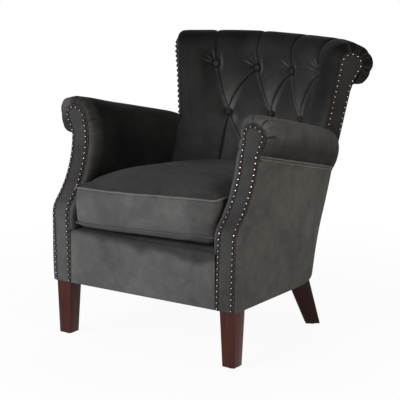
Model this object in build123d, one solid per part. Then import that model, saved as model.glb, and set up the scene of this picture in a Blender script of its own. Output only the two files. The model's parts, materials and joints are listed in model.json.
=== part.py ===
from build123d import *
import os
from math import asin, atan2, cos, degrees, radians, sin, sqrt

# Button back armchair: a tub shaped easy chair with scrolled arms, a tufted back rolled over at
# the top, a loose box cushion, nail trimmed facings and four square tapered legs.
# Millimetres, +Z up, the chair faces -Y, left and right are the sitter's (left is +X).
# The back is turned about one upright line, the tub axis, and the arms run straight forward from it.

# Stance and overall reach, taken from the tub axis
LEG_HEIGHT = 170
FRONT_REACH = 317
SIDE_X = 328
SKIN = 6

# Legs, glides and their bolts
FRONT_LEG_X = 297
FRONT_LEG_BACK = 32
FRONT_LEG_TOP = 53
FRONT_LEG_FOOT = 41
REAR_LEG_ANGLE = 50.5
REAR_LEG_INSET = 25
REAR_LEG_SPLAY = 40
REAR_LEG_TOP = 50
REAR_LEG_TOP_DEEP = 72
REAR_LEG_TOP_IN = 18
REAR_LEG_FOOT = 44
GLIDE_D = 24
GLIDE_H = 4
BOLT_D = 8
BOLT_IN_LEG = 45
BOLT_IN_FRAME = 55

# Wooden frame
RAIL_LOW_Z = 176
RAIL_TOP_Z = 290
RAIL_THICK = 26
POST_DEPTH = 38
BOARD_PLAY = 0.2
BLOCK_LOW_Z = 195
BLOCK_HIGH_Z = 270
BLOCK_LEG = 62
SCREW_D = 5
SCREW_IN_RAIL = 18
SCREW_HEAD_D = 9
SCREW_HEAD_H = 3
SCREW_FAR_SHARE = 0.45
SCREW_NEAR_SHARE = 0.35
REAR_BLOCK_IN = 6
REAR_BLOCK_OUT = 10

# Seat: springs, deck and loose cushion
WIRE_D = 4
SPRING_X = 88
SPRING_COUNT = 5
SPRING_HALF_WIDTH = 22
SPRING_PITCH = 24
SPRING_BEND = 10
CLIP_W = 18
CLIP_LENGTH = 18
CLIP_H = 8
SPRING_COVER = 3
DECK_TOP_Z = 335
DECK_HALF = 275
DECK_REAR_R = 329
DUST_COVER = 1.5
CUSHION_SIDE_PLAY = 1.5
CUSHION_FRONT = 318
CUSHION_BULGE = 8
CUSHION_CORNER = 34
CUSHION_REAR_CENTRE = 48
CUSHION_LIFT = 0.3
CUSHION_UNDER = 24
CUSHION_BORDER = 106
CUSHION_CROWN = 34
CUSHION_WAIST = 3
CUSHION_CROWN_STEPS = ((0, 0), (24, 0.52), (70, 0.86), (130, 1))
PIPING_R = 4.5
PIPING_BITE = 1.5

# Arms: S shaped front seen from the side, and the roll seen from the front
KNEE_R = 60
SCROLL_R = 292
SCROLL_SETBACK = 108
SCROLL_Z = 625
FACING = 8
FACING_BOTTOM_IN = 260
FACING_BOTTOM_OUT = 322
FACING_WAIST_IN = 271
FACING_WAIST_OUT = 334
FACING_WAIST_Z = 560
FACING_WAIST_STEP = 40
FACING_HOLLOW = 0.3
BORDER_GAP = 1
ARM_HEAD_X = 318
ARM_HEAD_Z = 656
ARM_HEAD_R = 37
ARM_IN = 250
ARM_FRAME_IN = 277
ARM_TOP_Z = 721
ARM_TOP_Y = -211
ARM_SLOPE = 0.235
ARM_END_Y = 312
ARM_TAPER = 37
ROLL_TOP_X = 315
ROLL_OUT_FRONT = 366
ROLL_OUT_REAR = 314
ROLL_SHOULDER = 150
ROLL_HALF = 55
ROLL_DEEP = 115
ROLL_CROWN_SHARE = 0.69
ROLL_UNDER_OUT = 0.7
ROLL_UNDER_DROP = 22
ARM_RAIL_DROP = 62
ARM_RAIL_H = 50
SIDE_BOW = 0.3
CORNER_LAP = 5
WELT_R = 4

# Back, as radius from the tub axis against height
BACK_ANGLE = 43.7
SHELL_FOOT_R = 340
SHELL_UNDER_ROLL = 3.6
ROLL_R = 462
ROLL_Z = 803
ROLL_RADIUS = 65
BACK_LUMBAR_R = 306
BACK_LUMBAR_Z = 430
BACK_MIDDLE_Z = 625
BACK_BOW = 11.4
CREST_HALF = 24
POST_BACK = 24
POST_ANGLE = 39
WEBBING = 2
WEBBING_W = 50
LOWER_RAIL_LOW_Z = 340
LOWER_RAIL_HIGH_Z = 385
BACK_FACING = 6
BACK_FACING_LOW_Z = 617
BACK_HEAD_R = 37

# Tufting: rows of buttons, from the top, as height and places along the row
TUFT_HIGH_Z = 757
TUFT_MIDDLE_Z = 616
TUFT_LOW_Z = 482
TUFT_ROWS = ((TUFT_HIGH_Z, (-1.5, -0.5, 0.5, 1.5)), (TUFT_MIDDLE_Z, (-1, 0, 1)), (TUFT_LOW_Z, (-0.5, 0.5)))
TUFT_ANGLE = 18.6
TUFT_DEEP = 23
TUFT_WIDE = 30
PLEAT_DEEP = 10
PLEAT_WIDE = 9
ROLL_PLEAT_TURN = 150
BUTTON_D = 20
BUTTON_H = 8

# Trim nails
NAIL_D = 10
NAIL_H = 3.2
NAIL_STEP = 17
NAIL_EDGE = 7
NAIL_SEAT = 0.08

# Clearance between pieces that lie against each other on curved faces
PLAY = 0.3

# Places worked out from the sizes above
ROLL_REACH = ROLL_R + ROLL_RADIUS
PIPING_PROUD = PIPING_R - PIPING_BITE + PIPING_R
CUSHION_HALF = ARM_IN - PIPING_PROUD - CUSHION_SIDE_PLAY
AXIS_Y = (CUSHION_FRONT + CUSHION_BULGE + PIPING_PROUD - ROLL_REACH) / 2
FRONT_Y = AXIS_Y - FRONT_REACH
SIDE_IN = SIDE_X - SKIN
REAR_LEG_TOP_R = SIDE_X - REAR_LEG_INSET
CORNER_RAIL_OUT = SIDE_IN
SHELL_SLOPE = (ROLL_R + SHELL_UNDER_ROLL - SHELL_FOOT_R) / (ROLL_Z - ROLL_RADIUS - LEG_HEIGHT)
CREST_IN = ROLL_R - CREST_HALF
CREST_OUT = ROLL_R + CREST_HALF
CREST_LOW_Z = ROLL_Z - CREST_HALF
CREST_HIGH_Z = ROLL_Z + CREST_HALF
BACK_STRAIGHT = (ROLL_R - ROLL_RADIUS - BACK_LUMBAR_R) / (ROLL_Z - BACK_LUMBAR_Z)
BACK_MIDDLE_R = BACK_LUMBAR_R + BACK_STRAIGHT * (BACK_MIDDLE_Z - BACK_LUMBAR_Z) + BACK_BOW
SPRING_Z = RAIL_TOP_Z + WIRE_D
DECK_LOW_Z = SPRING_Z + WIRE_D / 2 + SPRING_COVER
BORDER_THICK = FACING
RAIL_FRONT_Y = FRONT_Y + BORDER_THICK
CUSHION_LOW_Z = DECK_TOP_Z + CUSHION_LIFT
PIPING_LOW_Z = CUSHION_LOW_Z + CUSHION_UNDER
PIPING_HIGH_Z = PIPING_LOW_Z + CUSHION_BORDER
KNEE_Z = SCROLL_Z - sqrt((SCROLL_R + KNEE_R) ** 2 - (SCROLL_R - SCROLL_SETBACK + KNEE_R) ** 2)
TUB = Axis((0, AXIS_Y, 0), (0, 0, -1))

os.makedirs("parts", exist_ok=True)


def save(name, shape):
    """Write one node, a piece or a group of like pieces."""
    body = Compound(children=list(shape)) if isinstance(shape, (list, tuple)) else shape
    export_step(body, "parts/" + name + ".step")


def save_pair(name, left):
    """Write a piece of the left side and its mirror image on the right."""
    pieces = left if isinstance(left, (list, tuple)) else [left]
    right = [mirror(piece, about=Plane.YZ) for piece in pieces]
    save("left_" + name, left)
    save("right_" + name, right if len(right) > 1 else right[0])


def block(low, high):
    """A box between two opposite corners."""
    size = [b - a for a, b in zip(low, high)]
    middle = [(a + b) / 2 for a, b in zip(low, high)]
    return Pos(*middle) * Box(*size)


def outline(*edges):
    """A flat face inside edges that join end to end."""
    return make_face(list(edges))


def arc(a, via, b):
    return ThreePointArc(a, via, b)


def radial(angle):
    """The upright plane through the tub axis at an angle from straight back, x outwards and y up."""
    out = (sin(radians(angle)), cos(radians(angle)), 0)
    across = (cos(radians(angle)), -sin(radians(angle)), 0)
    return Plane(origin=(0, AXIS_Y, 0), x_dir=out, z_dir=across)


def turned(section, start, end):
    """Turn a section, drawn as radius and height, about the tub axis."""
    return revolve(radial(start) * section, axis=TUB, revolution_arc=end - start)


def at(angle, radius, height):
    """The point at an angle and radius about the tub axis."""
    return Vector(radius * sin(radians(angle)), AXIS_Y + radius * cos(radians(angle)), height)


def shell_r(z):
    """Outside of the back."""
    return SHELL_FOOT_R + SHELL_SLOPE * (z - LEG_HEIGHT)


def seam_r(z):
    """Rear face of the back's padding, on webbing that is tacked to the front of the crest rail."""
    return CREST_IN - WEBBING + SHELL_SLOPE * (z - CREST_LOW_Z)


def arm_top(y):
    """Height of the arm's top line, y from the tub axis."""
    return ARM_TOP_Z - ARM_SLOPE * (y - ARM_TOP_Y)


# The arm's front, seen from the side: upright, over the knee, then one long hollow curve

SCROLL_Y = FRONT_Y + SCROLL_SETBACK - SCROLL_R
KNEE_Y = FRONT_Y + KNEE_R
TURN = atan2(SCROLL_Z - KNEE_Z, KNEE_Y - SCROLL_Y)
S_TOP_Z = ARM_TOP_Z + KNEE_R


def front_place(z):
    """Y of the arm's front at a height, and how far its face leans back, in degrees."""
    if z <= KNEE_Z:
        return FRONT_Y, 0
    if z <= SCROLL_Z - SCROLL_R * sin(TURN):
        lean = asin((z - KNEE_Z) / KNEE_R)
        return KNEE_Y - KNEE_R * cos(lean), degrees(lean)
    lean = asin((SCROLL_Z - z) / SCROLL_R)
    return SCROLL_Y + SCROLL_R * cos(lean), degrees(lean)


def behind_front(depth):
    """Everything on the left behind the arm's front, moved back by a depth."""
    knee = KNEE_R - depth
    scroll = SCROLL_R + depth
    knee_top = (KNEE_Y - knee * cos(TURN), KNEE_Z + knee * sin(TURN))
    half = TURN / 2
    rise = asin((S_TOP_Z - SCROLL_Z) / scroll)
    middle = (rise - TURN) / 2
    top = (SCROLL_Y + scroll * cos(rise), S_TOP_Z)
    rear_y = AXIS_Y + ROLL_REACH
    side = outline(
        Line((FRONT_Y + depth, 0), (FRONT_Y + depth, KNEE_Z)),
        arc((FRONT_Y + depth, KNEE_Z), (KNEE_Y - knee * cos(half), KNEE_Z + knee * sin(half)), knee_top),
        arc(knee_top, (SCROLL_Y + scroll * cos(middle), SCROLL_Z + scroll * sin(middle)), top),
        Line(top, (rear_y, S_TOP_Z)),
        Line((rear_y, S_TOP_Z), (rear_y, 0)),
        Line((rear_y, 0), (FRONT_Y + depth, 0)),
    )
    return extrude(Plane.YZ * side, amount=2 * SIDE_X)


def front_sheet(face, depth_near, depth_far):
    """A front view outline, bent to the arm's front, between two depths."""
    prism = extrude(Plane(origin=(0, FRONT_Y - FACING, 0), x_dir=(1, 0, 0), z_dir=(0, -1, 0)) * face,
                    amount=-FRONT_REACH)
    return (prism & behind_front(depth_near)) - behind_front(depth_far)


# Plan outlines

def tub_plan(half, front, rear_radius, rear_centre=0.0):
    """A D shaped plan: straight front and sides and a round rear, y from the tub axis."""
    side_y = rear_centre + sqrt(rear_radius ** 2 - half ** 2)
    corner_l, corner_r = (-half, front), (half, front)
    rear_l, rear_r = (-half, side_y), (half, side_y)
    return Pos(0, AXIS_Y) * outline(
        Line(corner_l, corner_r),
        Line(corner_r, rear_r),
        arc(rear_r, (0, rear_centre + rear_radius), rear_l),
        Line(rear_l, corner_l),
    )


def cushion_edges(inset):
    """The cushion's plan, drawn in by an inset, as edges in order."""
    half = CUSHION_HALF - inset
    front = AXIS_Y - CUSHION_FRONT + inset
    corner = CUSHION_CORNER - 0.1 * inset
    centre = AXIS_Y + CUSHION_REAR_CENTRE
    turn = corner * (1 - sqrt(0.5))
    slant = half * sqrt(0.5)
    front_l, front_r = (-half + corner, front), (half - corner, front)
    side_l, side_r = (-half, front + corner), (half, front + corner)
    return [
        arc(front_l, (0, front - CUSHION_BULGE), front_r),
        arc(front_r, (half - turn, front + turn), side_r),
        Line(side_r, (half, centre)),
        arc((half, centre), (slant, centre + slant), (0, centre + half)),
        arc((0, centre + half), (-slant, centre + slant), (-half, centre)),
        Line((-half, centre), side_l),
        arc(side_l, (-half + turn, front + turn), front_l),
    ]


def cushion_face(inset, height):
    return Pos(0, 0, height) * make_face(cushion_edges(inset))


# Seat cushion and its piping

def seat_cushion():
    """Box cushion: crowned above and below, with a border drawn in between its two seams."""
    middle = (PIPING_LOW_Z + PIPING_HIGH_Z) / 2
    border = loft([cushion_face(0, PIPING_LOW_Z), cushion_face(CUSHION_WAIST, middle),
                   cushion_face(0, PIPING_HIGH_Z)])
    top = loft([cushion_face(d, PIPING_HIGH_Z + rise * CUSHION_CROWN) for d, rise in CUSHION_CROWN_STEPS])
    under = loft([cushion_face(d, PIPING_LOW_Z - rise * CUSHION_UNDER) for d, rise in CUSHION_CROWN_STEPS])
    return border + top + under


def piping(height):
    """Covered cord sewn round the cushion's edge."""
    out = PIPING_R - PIPING_BITE
    ring = cushion_face(-out - PIPING_R, height - PIPING_R) - cushion_face(-out + PIPING_R, height - PIPING_R)
    cord = extrude(ring, amount=2 * PIPING_R)
    long_edges = [e for e in cord.edges() if abs(e.center().Z - height) > PIPING_R / 2]
    cord = chamfer(long_edges, PIPING_R * 0.55)
    return cord


# Legs

def front_leg():
    """Front leg, whose top keeps clear of the covers beside and before it."""
    y = FRONT_Y + FRONT_LEG_BACK
    top_x = min(FRONT_LEG_X, SIDE_IN - FRONT_LEG_TOP / 2 - BOARD_PLAY)
    top_y = max(y, FRONT_Y + FACING + FRONT_LEG_TOP / 2 + BOARD_PLAY)
    foot = Pos(FRONT_LEG_X, y, GLIDE_H) * Rectangle(FRONT_LEG_FOOT, FRONT_LEG_FOOT)
    top = Pos(top_x, top_y, RAIL_LOW_Z) * Rectangle(FRONT_LEG_TOP, FRONT_LEG_TOP)
    return loft([foot, top], ruled=True)


def rear_leg():
    """Rear leg, splayed outwards, with its top drawn in under the seat."""
    turn = Rot(0, 0, -REAR_LEG_ANGLE)
    foot_at = at(REAR_LEG_ANGLE, REAR_LEG_TOP_R + REAR_LEG_SPLAY, GLIDE_H)
    top_at = at(REAR_LEG_ANGLE, REAR_LEG_TOP_R - REAR_LEG_TOP_IN, RAIL_LOW_Z)
    foot = Pos(*foot_at) * turn * Rectangle(REAR_LEG_FOOT, REAR_LEG_FOOT)
    top = Pos(*top_at) * turn * Rectangle(REAR_LEG_TOP, REAR_LEG_TOP_DEEP)
    return loft([foot, top], ruled=True)


def rod(diameter, low, high):
    """An upright round rod between two points, one above the other."""
    height = high.Z - low.Z
    return Pos(low.X, low.Y, low.Z + height / 2) * Cylinder(diameter / 2, height)


FRONT_LEG_AT = Vector(FRONT_LEG_X, FRONT_Y + FRONT_LEG_BACK, RAIL_LOW_Z)
REAR_LEG_AT = at(REAR_LEG_ANGLE, REAR_LEG_TOP_R, RAIL_LOW_Z)
REAR_FOOT_AT = at(REAR_LEG_ANGLE, REAR_LEG_TOP_R + REAR_LEG_SPLAY, 0)


def leg_bolt(place, extra=0.0):
    """Hanger bolt between a leg and the frame above it."""
    low = place - Vector(0, 0, BOLT_IN_LEG)
    high = place + Vector(0, 0, BOLT_IN_FRAME)
    return rod(BOLT_D + 2 * extra, low, high)


def glide(x, y):
    foot = Pos(x, y, GLIDE_H / 2) * Cylinder(GLIDE_D / 2, GLIDE_H)
    return chamfer(foot.edges().group_by(Axis.Z)[0], GLIDE_H / 4)


both_holes = leg_bolt(FRONT_LEG_AT, BOARD_PLAY) + leg_bolt(REAR_LEG_AT, BOARD_PLAY)
save_pair("front_leg", front_leg() - both_holes)
save_pair("rear_leg", rear_leg() - both_holes)
bolts = [leg_bolt(FRONT_LEG_AT), leg_bolt(REAR_LEG_AT)]
save("leg_bolts", bolts + [mirror(b, about=Plane.YZ) for b in bolts])
save_pair("front_glide", glide(FRONT_LEG_X, FRONT_Y + FRONT_LEG_BACK))
save_pair("rear_glide", glide(REAR_FOOT_AT.X, REAR_FOOT_AT.Y))

# Seat frame

POST_NEAR = FACING
POST_FAR = FACING + POST_DEPTH
SIDE_RAIL_Y = FRONT_Y + POST_FAR
RAIL_REAR_Y = RAIL_FRONT_Y + RAIL_THICK
SIDE_RAIL_IN = SIDE_IN - RAIL_THICK


def screw_pair(extra=0.0):
    """The two screws of a front corner block: one into the front rail and one into the side rail."""
    d = SCREW_D / 2 + extra
    head = SCREW_HEAD_D / 2 + extra
    z = (BLOCK_LOW_Z + BLOCK_HIGH_Z) / 2
    near_x = SIDE_RAIL_IN - BLOCK_LEG * SCREW_FAR_SHARE
    near_y = SIDE_RAIL_Y + BLOCK_LEG * SCREW_NEAR_SHARE
    span_y = RAIL_REAR_Y + BLOCK_LEG * SCREW_NEAR_SHARE
    first = Pos(near_x, (span_y + RAIL_REAR_Y - SCREW_IN_RAIL) / 2, z)
    first_length = span_y - RAIL_REAR_Y + SCREW_IN_RAIL
    span_x = SIDE_RAIL_IN - BLOCK_LEG * SCREW_NEAR_SHARE
    second = Pos((span_x + SIDE_RAIL_IN + SCREW_IN_RAIL) / 2, near_y, z + 2 * SCREW_HEAD_D)
    second_length = SIDE_RAIL_IN + SCREW_IN_RAIL - span_x
    long_head = Pos(near_x, span_y + SCREW_HEAD_H / 2, z) * Rot(90, 0, 0) * Cylinder(head, SCREW_HEAD_H)
    cross_head = Pos(span_x - SCREW_HEAD_H / 2, near_y, z + 2 * SCREW_HEAD_D) * Rot(0, 90, 0)
    cross_head = cross_head * Cylinder(head, SCREW_HEAD_H)
    return [first * Rot(90, 0, 0) * Cylinder(d, first_length) + long_head,
            second * Rot(0, 90, 0) * Cylinder(d, second_length) + cross_head]


def screw_holes():
    """Clearance for the screws, open towards the middle of the chair for the driver."""
    holes = screw_pair(BOARD_PLAY)
    reach = BLOCK_LEG * 2
    head = SCREW_HEAD_D / 2 + BOARD_PLAY
    first, second = (h.bounding_box() for h in holes)
    driver_y = Pos(first.center().X, first.max.Y + reach / 2 - SCREW_HEAD_H, first.center().Z)
    driver_x = Pos(second.min.X - reach / 2 + SCREW_HEAD_H, second.center().Y, second.center().Z)
    return holes + [driver_y * Rot(90, 0, 0) * Cylinder(head, reach),
                    driver_x * Rot(0, 90, 0) * Cylinder(head, reach)]


def cut_by(piece, tools):
    for tool in tools:
        piece = piece - tool
    return piece


HOLES = screw_holes()
HOLES_RIGHT = [mirror(h, about=Plane.YZ) for h in HOLES]
front_rail = block((-ARM_FRAME_IN, RAIL_FRONT_Y, RAIL_LOW_Z), (ARM_FRAME_IN, RAIL_REAR_Y, RAIL_TOP_Z))
save("front_rail", cut_by(front_rail, HOLES[:2] + HOLES_RIGHT[:2]))
side_rail = block((SIDE_RAIL_IN, SIDE_RAIL_Y, RAIL_LOW_Z), (SIDE_IN, AXIS_Y, RAIL_TOP_Z))
save_pair("side_rail", cut_by(side_rail, HOLES[:2]))

block_plan = outline(
    Polyline((ARM_FRAME_IN, RAIL_REAR_Y), (ARM_FRAME_IN, SIDE_RAIL_Y), (SIDE_RAIL_IN, SIDE_RAIL_Y),
             (SIDE_RAIL_IN, SIDE_RAIL_Y + BLOCK_LEG), (ARM_FRAME_IN - BLOCK_LEG, RAIL_REAR_Y), close=True),
)
corner_block = extrude(Pos(0, 0, BLOCK_LOW_Z) * block_plan, amount=BLOCK_HIGH_Z - BLOCK_LOW_Z)
save_pair("corner_block", cut_by(corner_block, HOLES))
screws = screw_pair()
save("block_screws", screws + [mirror(s, about=Plane.YZ) for s in screws])

corner_in = CORNER_RAIL_OUT - RAIL_THICK
corner_section = outline(Polyline((corner_in, RAIL_LOW_Z), (CORNER_RAIL_OUT, RAIL_LOW_Z),
                                  (CORNER_RAIL_OUT, RAIL_TOP_Z), (corner_in, RAIL_TOP_Z), close=True))
corner_rail = turned(corner_section, BACK_ANGLE, 90) - leg_bolt(REAR_LEG_AT, BOARD_PLAY)
save_pair("corner_rail", corner_rail)


def rear_rail_r(z):
    """Inner face of the rear rail."""
    return shell_r(z) - SKIN - RAIL_THICK


def sloped(low, high, near, far):
    """A section between two heights whose near and far sides follow radius functions."""
    corners = ((near(low), low), (far(low), low), (far(high), high), (near(high), high))
    return outline(Polyline(*corners, close=True))


rear_section = sloped(RAIL_LOW_Z, RAIL_TOP_Z, rear_rail_r, lambda z: rear_rail_r(z) + RAIL_THICK)
save("rear_rail", turned(rear_section, -BACK_ANGLE, BACK_ANGLE))

rear_block = turned(sloped(BLOCK_LOW_Z, BLOCK_HIGH_Z, lambda z: corner_in - RAIL_THICK, rear_rail_r),
                    BACK_ANGLE - REAR_BLOCK_IN, BACK_ANGLE)
rear_block = rear_block + turned(sloped(BLOCK_LOW_Z, BLOCK_HIGH_Z, lambda z: corner_in - RAIL_THICK,
                                        lambda z: corner_in), BACK_ANGLE, BACK_ANGLE + REAR_BLOCK_OUT)
save_pair("rear_block", rear_block - leg_bolt(REAR_LEG_AT, BOARD_PLAY))

# Arm and back frame

post_front = Polyline((ARM_FRAME_IN, RAIL_LOW_Z), (SIDE_IN, RAIL_LOW_Z), (SIDE_IN, ARM_TOP_Z - ARM_RAIL_DROP),
                      (ARM_FRAME_IN, ARM_TOP_Z - ARM_RAIL_DROP), close=True)
arm_post = front_sheet(outline(post_front), POST_NEAR, POST_FAR) - leg_bolt(FRONT_LEG_AT, BOARD_PLAY)


def along_arm(face_at):
    """A solid through upright sections of the arm: at its front, at the tub axis and at the back."""
    return loft([face_at(y) for y in (ARM_START, 0, ARM_END_Y)], ruled=True)


def side_in(y):
    """Inner face of the outside arm: straight beside the seat, drawn in behind the tub axis."""
    return SIDE_IN - ARM_TAPER * max(0, y) / ARM_END_Y


def upright(y):
    """Front view plane at a place along the arm, x to the left arm and y up."""
    return Plane(origin=(0, AXIS_Y + y, 0), x_dir=(1, 0, 0), z_dir=(0, -1, 0))


ARM_START = -FRONT_REACH - 20


def rail_face(y):
    top = arm_top(y) - ARM_RAIL_DROP
    low = top - ARM_RAIL_H
    side = side_in(y)
    return upright(y) * outline(Polyline((ARM_FRAME_IN, low), (side, low), (side, top),
                                         (ARM_FRAME_IN, top), close=True))


def back_zone(extra):
    """The space of the back and its facing, on the left, with room to spare."""
    plane = radial(BACK_ANGLE)
    deep = BACK_FACING + extra
    return plane * Pos(ROLL_REACH, ROLL_Z / 2, deep - ROLL_R) * Box(2 * ROLL_REACH, 2 * ROLL_Z, 2 * ROLL_R)


arm_rail = along_arm(rail_face) & behind_front(POST_FAR)
arm_rail = arm_rail - back_zone(PLAY)
over_rail = along_arm(rail_face).moved(Pos(0, 0, ARM_RAIL_H))
save_pair("arm_post", arm_post - over_rail)
save_pair("arm_rail", arm_rail)


def post_r(z):
    """Front of the back posts, under the webbing."""
    return seam_r(z) + WEBBING


post_section = sloped(RAIL_TOP_Z, CREST_LOW_Z, post_r, lambda z: post_r(z) + POST_BACK)
save_pair("back_post", turned(post_section, POST_ANGLE, BACK_ANGLE))
lower_section = sloped(LOWER_RAIL_LOW_Z, LOWER_RAIL_HIGH_Z, post_r, lambda z: post_r(z) + POST_BACK)
save("lower_back_rail", turned(lower_section, -POST_ANGLE, POST_ANGLE))
crest_box = Polyline((CREST_IN, CREST_LOW_Z), (CREST_OUT, CREST_LOW_Z),
                     (CREST_OUT, CREST_HIGH_Z), (CREST_IN, CREST_HIGH_Z), close=True)
save("crest_rail", turned(outline(crest_box), -BACK_ANGLE, BACK_ANGLE))

strap = sloped(LOWER_RAIL_LOW_Z, CREST_LOW_Z, seam_r, post_r)
strap_turn = degrees(WEBBING_W / seam_r(BACK_MIDDLE_Z)) / 2
STRAP_ANGLES = [TUFT_ANGLE * step for step in (-1.5, -0.5, 0.5, 1.5)]
save("back_webbing", [turned(strap, a - strap_turn, a + strap_turn) for a in STRAP_ANGLES])

# Seat springs, clips, cover and deck

SPRING_FRONT_Y = RAIL_FRONT_Y + RAIL_THICK / 2 - CLIP_LENGTH / 2
SPRING_PLACES = [SPRING_X * (i - (SPRING_COUNT - 1) / 2) for i in range(SPRING_COUNT)]


def spring_ends(x):
    """Where a spring starts on the front rail and ends on the rear rail."""
    rear_r = rear_rail_r(RAIL_TOP_Z) + RAIL_THICK / 2
    return SPRING_FRONT_Y, AXIS_Y + sqrt(rear_r ** 2 - x ** 2) + CLIP_LENGTH / 2


def spring(x):
    """Sinuous spring: one wire bent to and fro, straight at both ends in its clips."""
    start, end = spring_ends(x)
    lead = CLIP_LENGTH + RAIL_THICK
    turns = int((end - start - 2 * lead) / SPRING_PITCH)
    first = start + (end - start - turns * SPRING_PITCH) / 2
    points = [(x, start, SPRING_Z), (x, first, SPRING_Z)]
    for i in range(turns):
        side = SPRING_HALF_WIDTH if i % 2 == 0 else -SPRING_HALF_WIDTH
        points += [(x + side, first + i * SPRING_PITCH, SPRING_Z),
                   (x + side, first + (i + 1) * SPRING_PITCH, SPRING_Z)]
    points += [(x, first + turns * SPRING_PITCH, SPRING_Z), (x, end, SPRING_Z)]
    path = FilletPolyline(*points, radius=SPRING_BEND)
    section = Plane(origin=points[0], z_dir=(0, 1, 0)) * Circle(WIRE_D / 2)
    return sweep(section, path=path)


def clip(x, y):
    """Steel clip on the rail, with the hole that holds the wire's end."""
    body = block((x - CLIP_W / 2, y, RAIL_TOP_Z), (x + CLIP_W / 2, y + CLIP_LENGTH, RAIL_TOP_Z + CLIP_H))
    hole = Pos(x, y + CLIP_LENGTH / 2, SPRING_Z) * Rot(90, 0, 0)
    return body - hole * Cylinder(WIRE_D / 2 + BOARD_PLAY, 2 * CLIP_LENGTH)


save("seat_springs", [spring(x) for x in SPRING_PLACES])
clips = []
for x in SPRING_PLACES:
    start, end = spring_ends(x)
    clips += [clip(x, start), clip(x, end - CLIP_LENGTH)]
save("spring_clips", clips)

deck_front = SPRING_FRONT_Y - AXIS_Y + CLIP_LENGTH + CLIP_W
deck_inner_r = min(DECK_REAR_R, rear_rail_r(RAIL_TOP_Z) - CLIP_LENGTH / 2)
cover_plan = tub_plan(DECK_HALF, deck_front, deck_inner_r)
save("spring_cover", extrude(Pos(0, 0, SPRING_Z + WIRE_D / 2) * cover_plan, amount=SPRING_COVER))
deck_plan = tub_plan(DECK_HALF, RAIL_FRONT_Y - AXIS_Y, DECK_REAR_R)
deck = extrude(Pos(0, 0, DECK_LOW_Z) * deck_plan, amount=DECK_TOP_Z - DECK_LOW_Z)
save("seat_deck", deck)

dust_plan = tub_plan(SIDE_IN, RAIL_FRONT_Y - AXIS_Y, SIDE_IN + PLAY)
dust = extrude(Pos(0, 0, RAIL_LOW_Z - DUST_COVER) * dust_plan, amount=DUST_COVER)
for leg in (front_leg(), rear_leg()):
    dust = dust - leg - mirror(leg, about=Plane.YZ)
save("dust_cover", dust)

# Front border under the cushion

border_x = FACING_BOTTOM_IN - BORDER_GAP
border = block((-border_x, FRONT_Y, LEG_HEIGHT), (border_x, RAIL_FRONT_Y, DECK_TOP_Z))
border_edge = border.edges().filter_by(Axis.X).group_by(Axis.Z)[-1].sort_by(Axis.Y)[0]
save("front_border", fillet(border_edge, BORDER_THICK * 0.7))

# Arm upholstery


def arm_face(y):
    """Section of the padding: inside arm, over the roll and down to the seam under it."""
    top = arm_top(y)
    side = side_in(y)
    share = max(0, y) / ARM_END_Y
    out = ROLL_OUT_FRONT + (ROLL_OUT_REAR - ROLL_OUT_FRONT) * share
    crown_x = ROLL_TOP_X - ARM_TAPER * share
    half_w = out - crown_x
    seam = (side + 1, top - ROLL_DEEP)
    under = (seam[0] + (out - seam[0]) * ROLL_UNDER_OUT, seam[1] + ROLL_UNDER_DROP)
    bend = sqrt(0.5)
    inner = (ARM_IN, top - ROLL_SHOULDER)
    across = crown_x - ARM_IN
    crown_r = ROLL_CROWN_SHARE * across
    rise = ROLL_SHOULDER - crown_r
    side_r = (across ** 2 + rise ** 2 - crown_r ** 2) / (2 * (across - crown_r))
    turn = atan2(rise, side_r - across)
    side_mid = (ARM_IN + side_r * (1 - cos(turn / 2)), inner[1] + side_r * sin(turn / 2))
    shoulder = (ARM_IN + side_r * (1 - cos(turn)), inner[1] + side_r * sin(turn))
    half_turn = (radians(90) + turn) / 2
    crown_mid = (crown_x - crown_r * cos(half_turn), top - crown_r * (1 - sin(half_turn)))
    return upright(y) * outline(
        Line((ARM_FRAME_IN, DECK_TOP_Z), (ARM_IN, DECK_TOP_Z)),
        Line((ARM_IN, DECK_TOP_Z), inner),
        arc(inner, side_mid, shoulder),
        arc(shoulder, crown_mid, (crown_x, top)),
        arc((crown_x, top), (crown_x + half_w * bend, top - ROLL_HALF * (1 - bend)), (out, top - ROLL_HALF)),
        arc((out, top - ROLL_HALF), under, seam),
        Line(seam, (side, top - ROLL_DEEP)),
        Line((side, top - ROLL_DEEP), (side, top - ARM_RAIL_DROP)),
        Line((side, top - ARM_RAIL_DROP), (ARM_FRAME_IN, top - ARM_RAIL_DROP)),
        Line((ARM_FRAME_IN, top - ARM_RAIL_DROP), (ARM_FRAME_IN, DECK_TOP_Z)),
    )


def back_section():
    """Padding of the back: lumbar, raked front, rolled top, and its bed on the frame."""
    low_front = (BACK_LUMBAR_R, DECK_TOP_Z)
    lumbar = (BACK_LUMBAR_R, BACK_LUMBAR_Z)
    roll_front = (ROLL_R - ROLL_RADIUS, ROLL_Z)
    roll_top = (ROLL_R, ROLL_Z + ROLL_RADIUS)
    roll_back = (ROLL_R + ROLL_RADIUS, ROLL_Z)
    roll_under = (ROLL_R, ROLL_Z - ROLL_RADIUS)
    bend = ROLL_RADIUS * sqrt(0.5)
    return outline(
        Line(low_front, lumbar),
        arc(lumbar, (BACK_MIDDLE_R, BACK_MIDDLE_Z), roll_front),
        arc(roll_front, (ROLL_R - bend, ROLL_Z + bend), roll_top),
        arc(roll_top, (ROLL_R + bend, ROLL_Z + bend), roll_back),
        arc(roll_back, (ROLL_R + bend, ROLL_Z - bend), roll_under),
        Polyline(roll_under, (ROLL_R, CREST_LOW_Z), (CREST_OUT, CREST_LOW_Z), (CREST_OUT, CREST_HIGH_Z),
                 (CREST_IN, CREST_HIGH_Z), (CREST_IN, CREST_LOW_Z), (seam_r(CREST_LOW_Z), CREST_LOW_Z),
                 (seam_r(DECK_TOP_Z), DECK_TOP_Z), low_front),
    )


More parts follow.
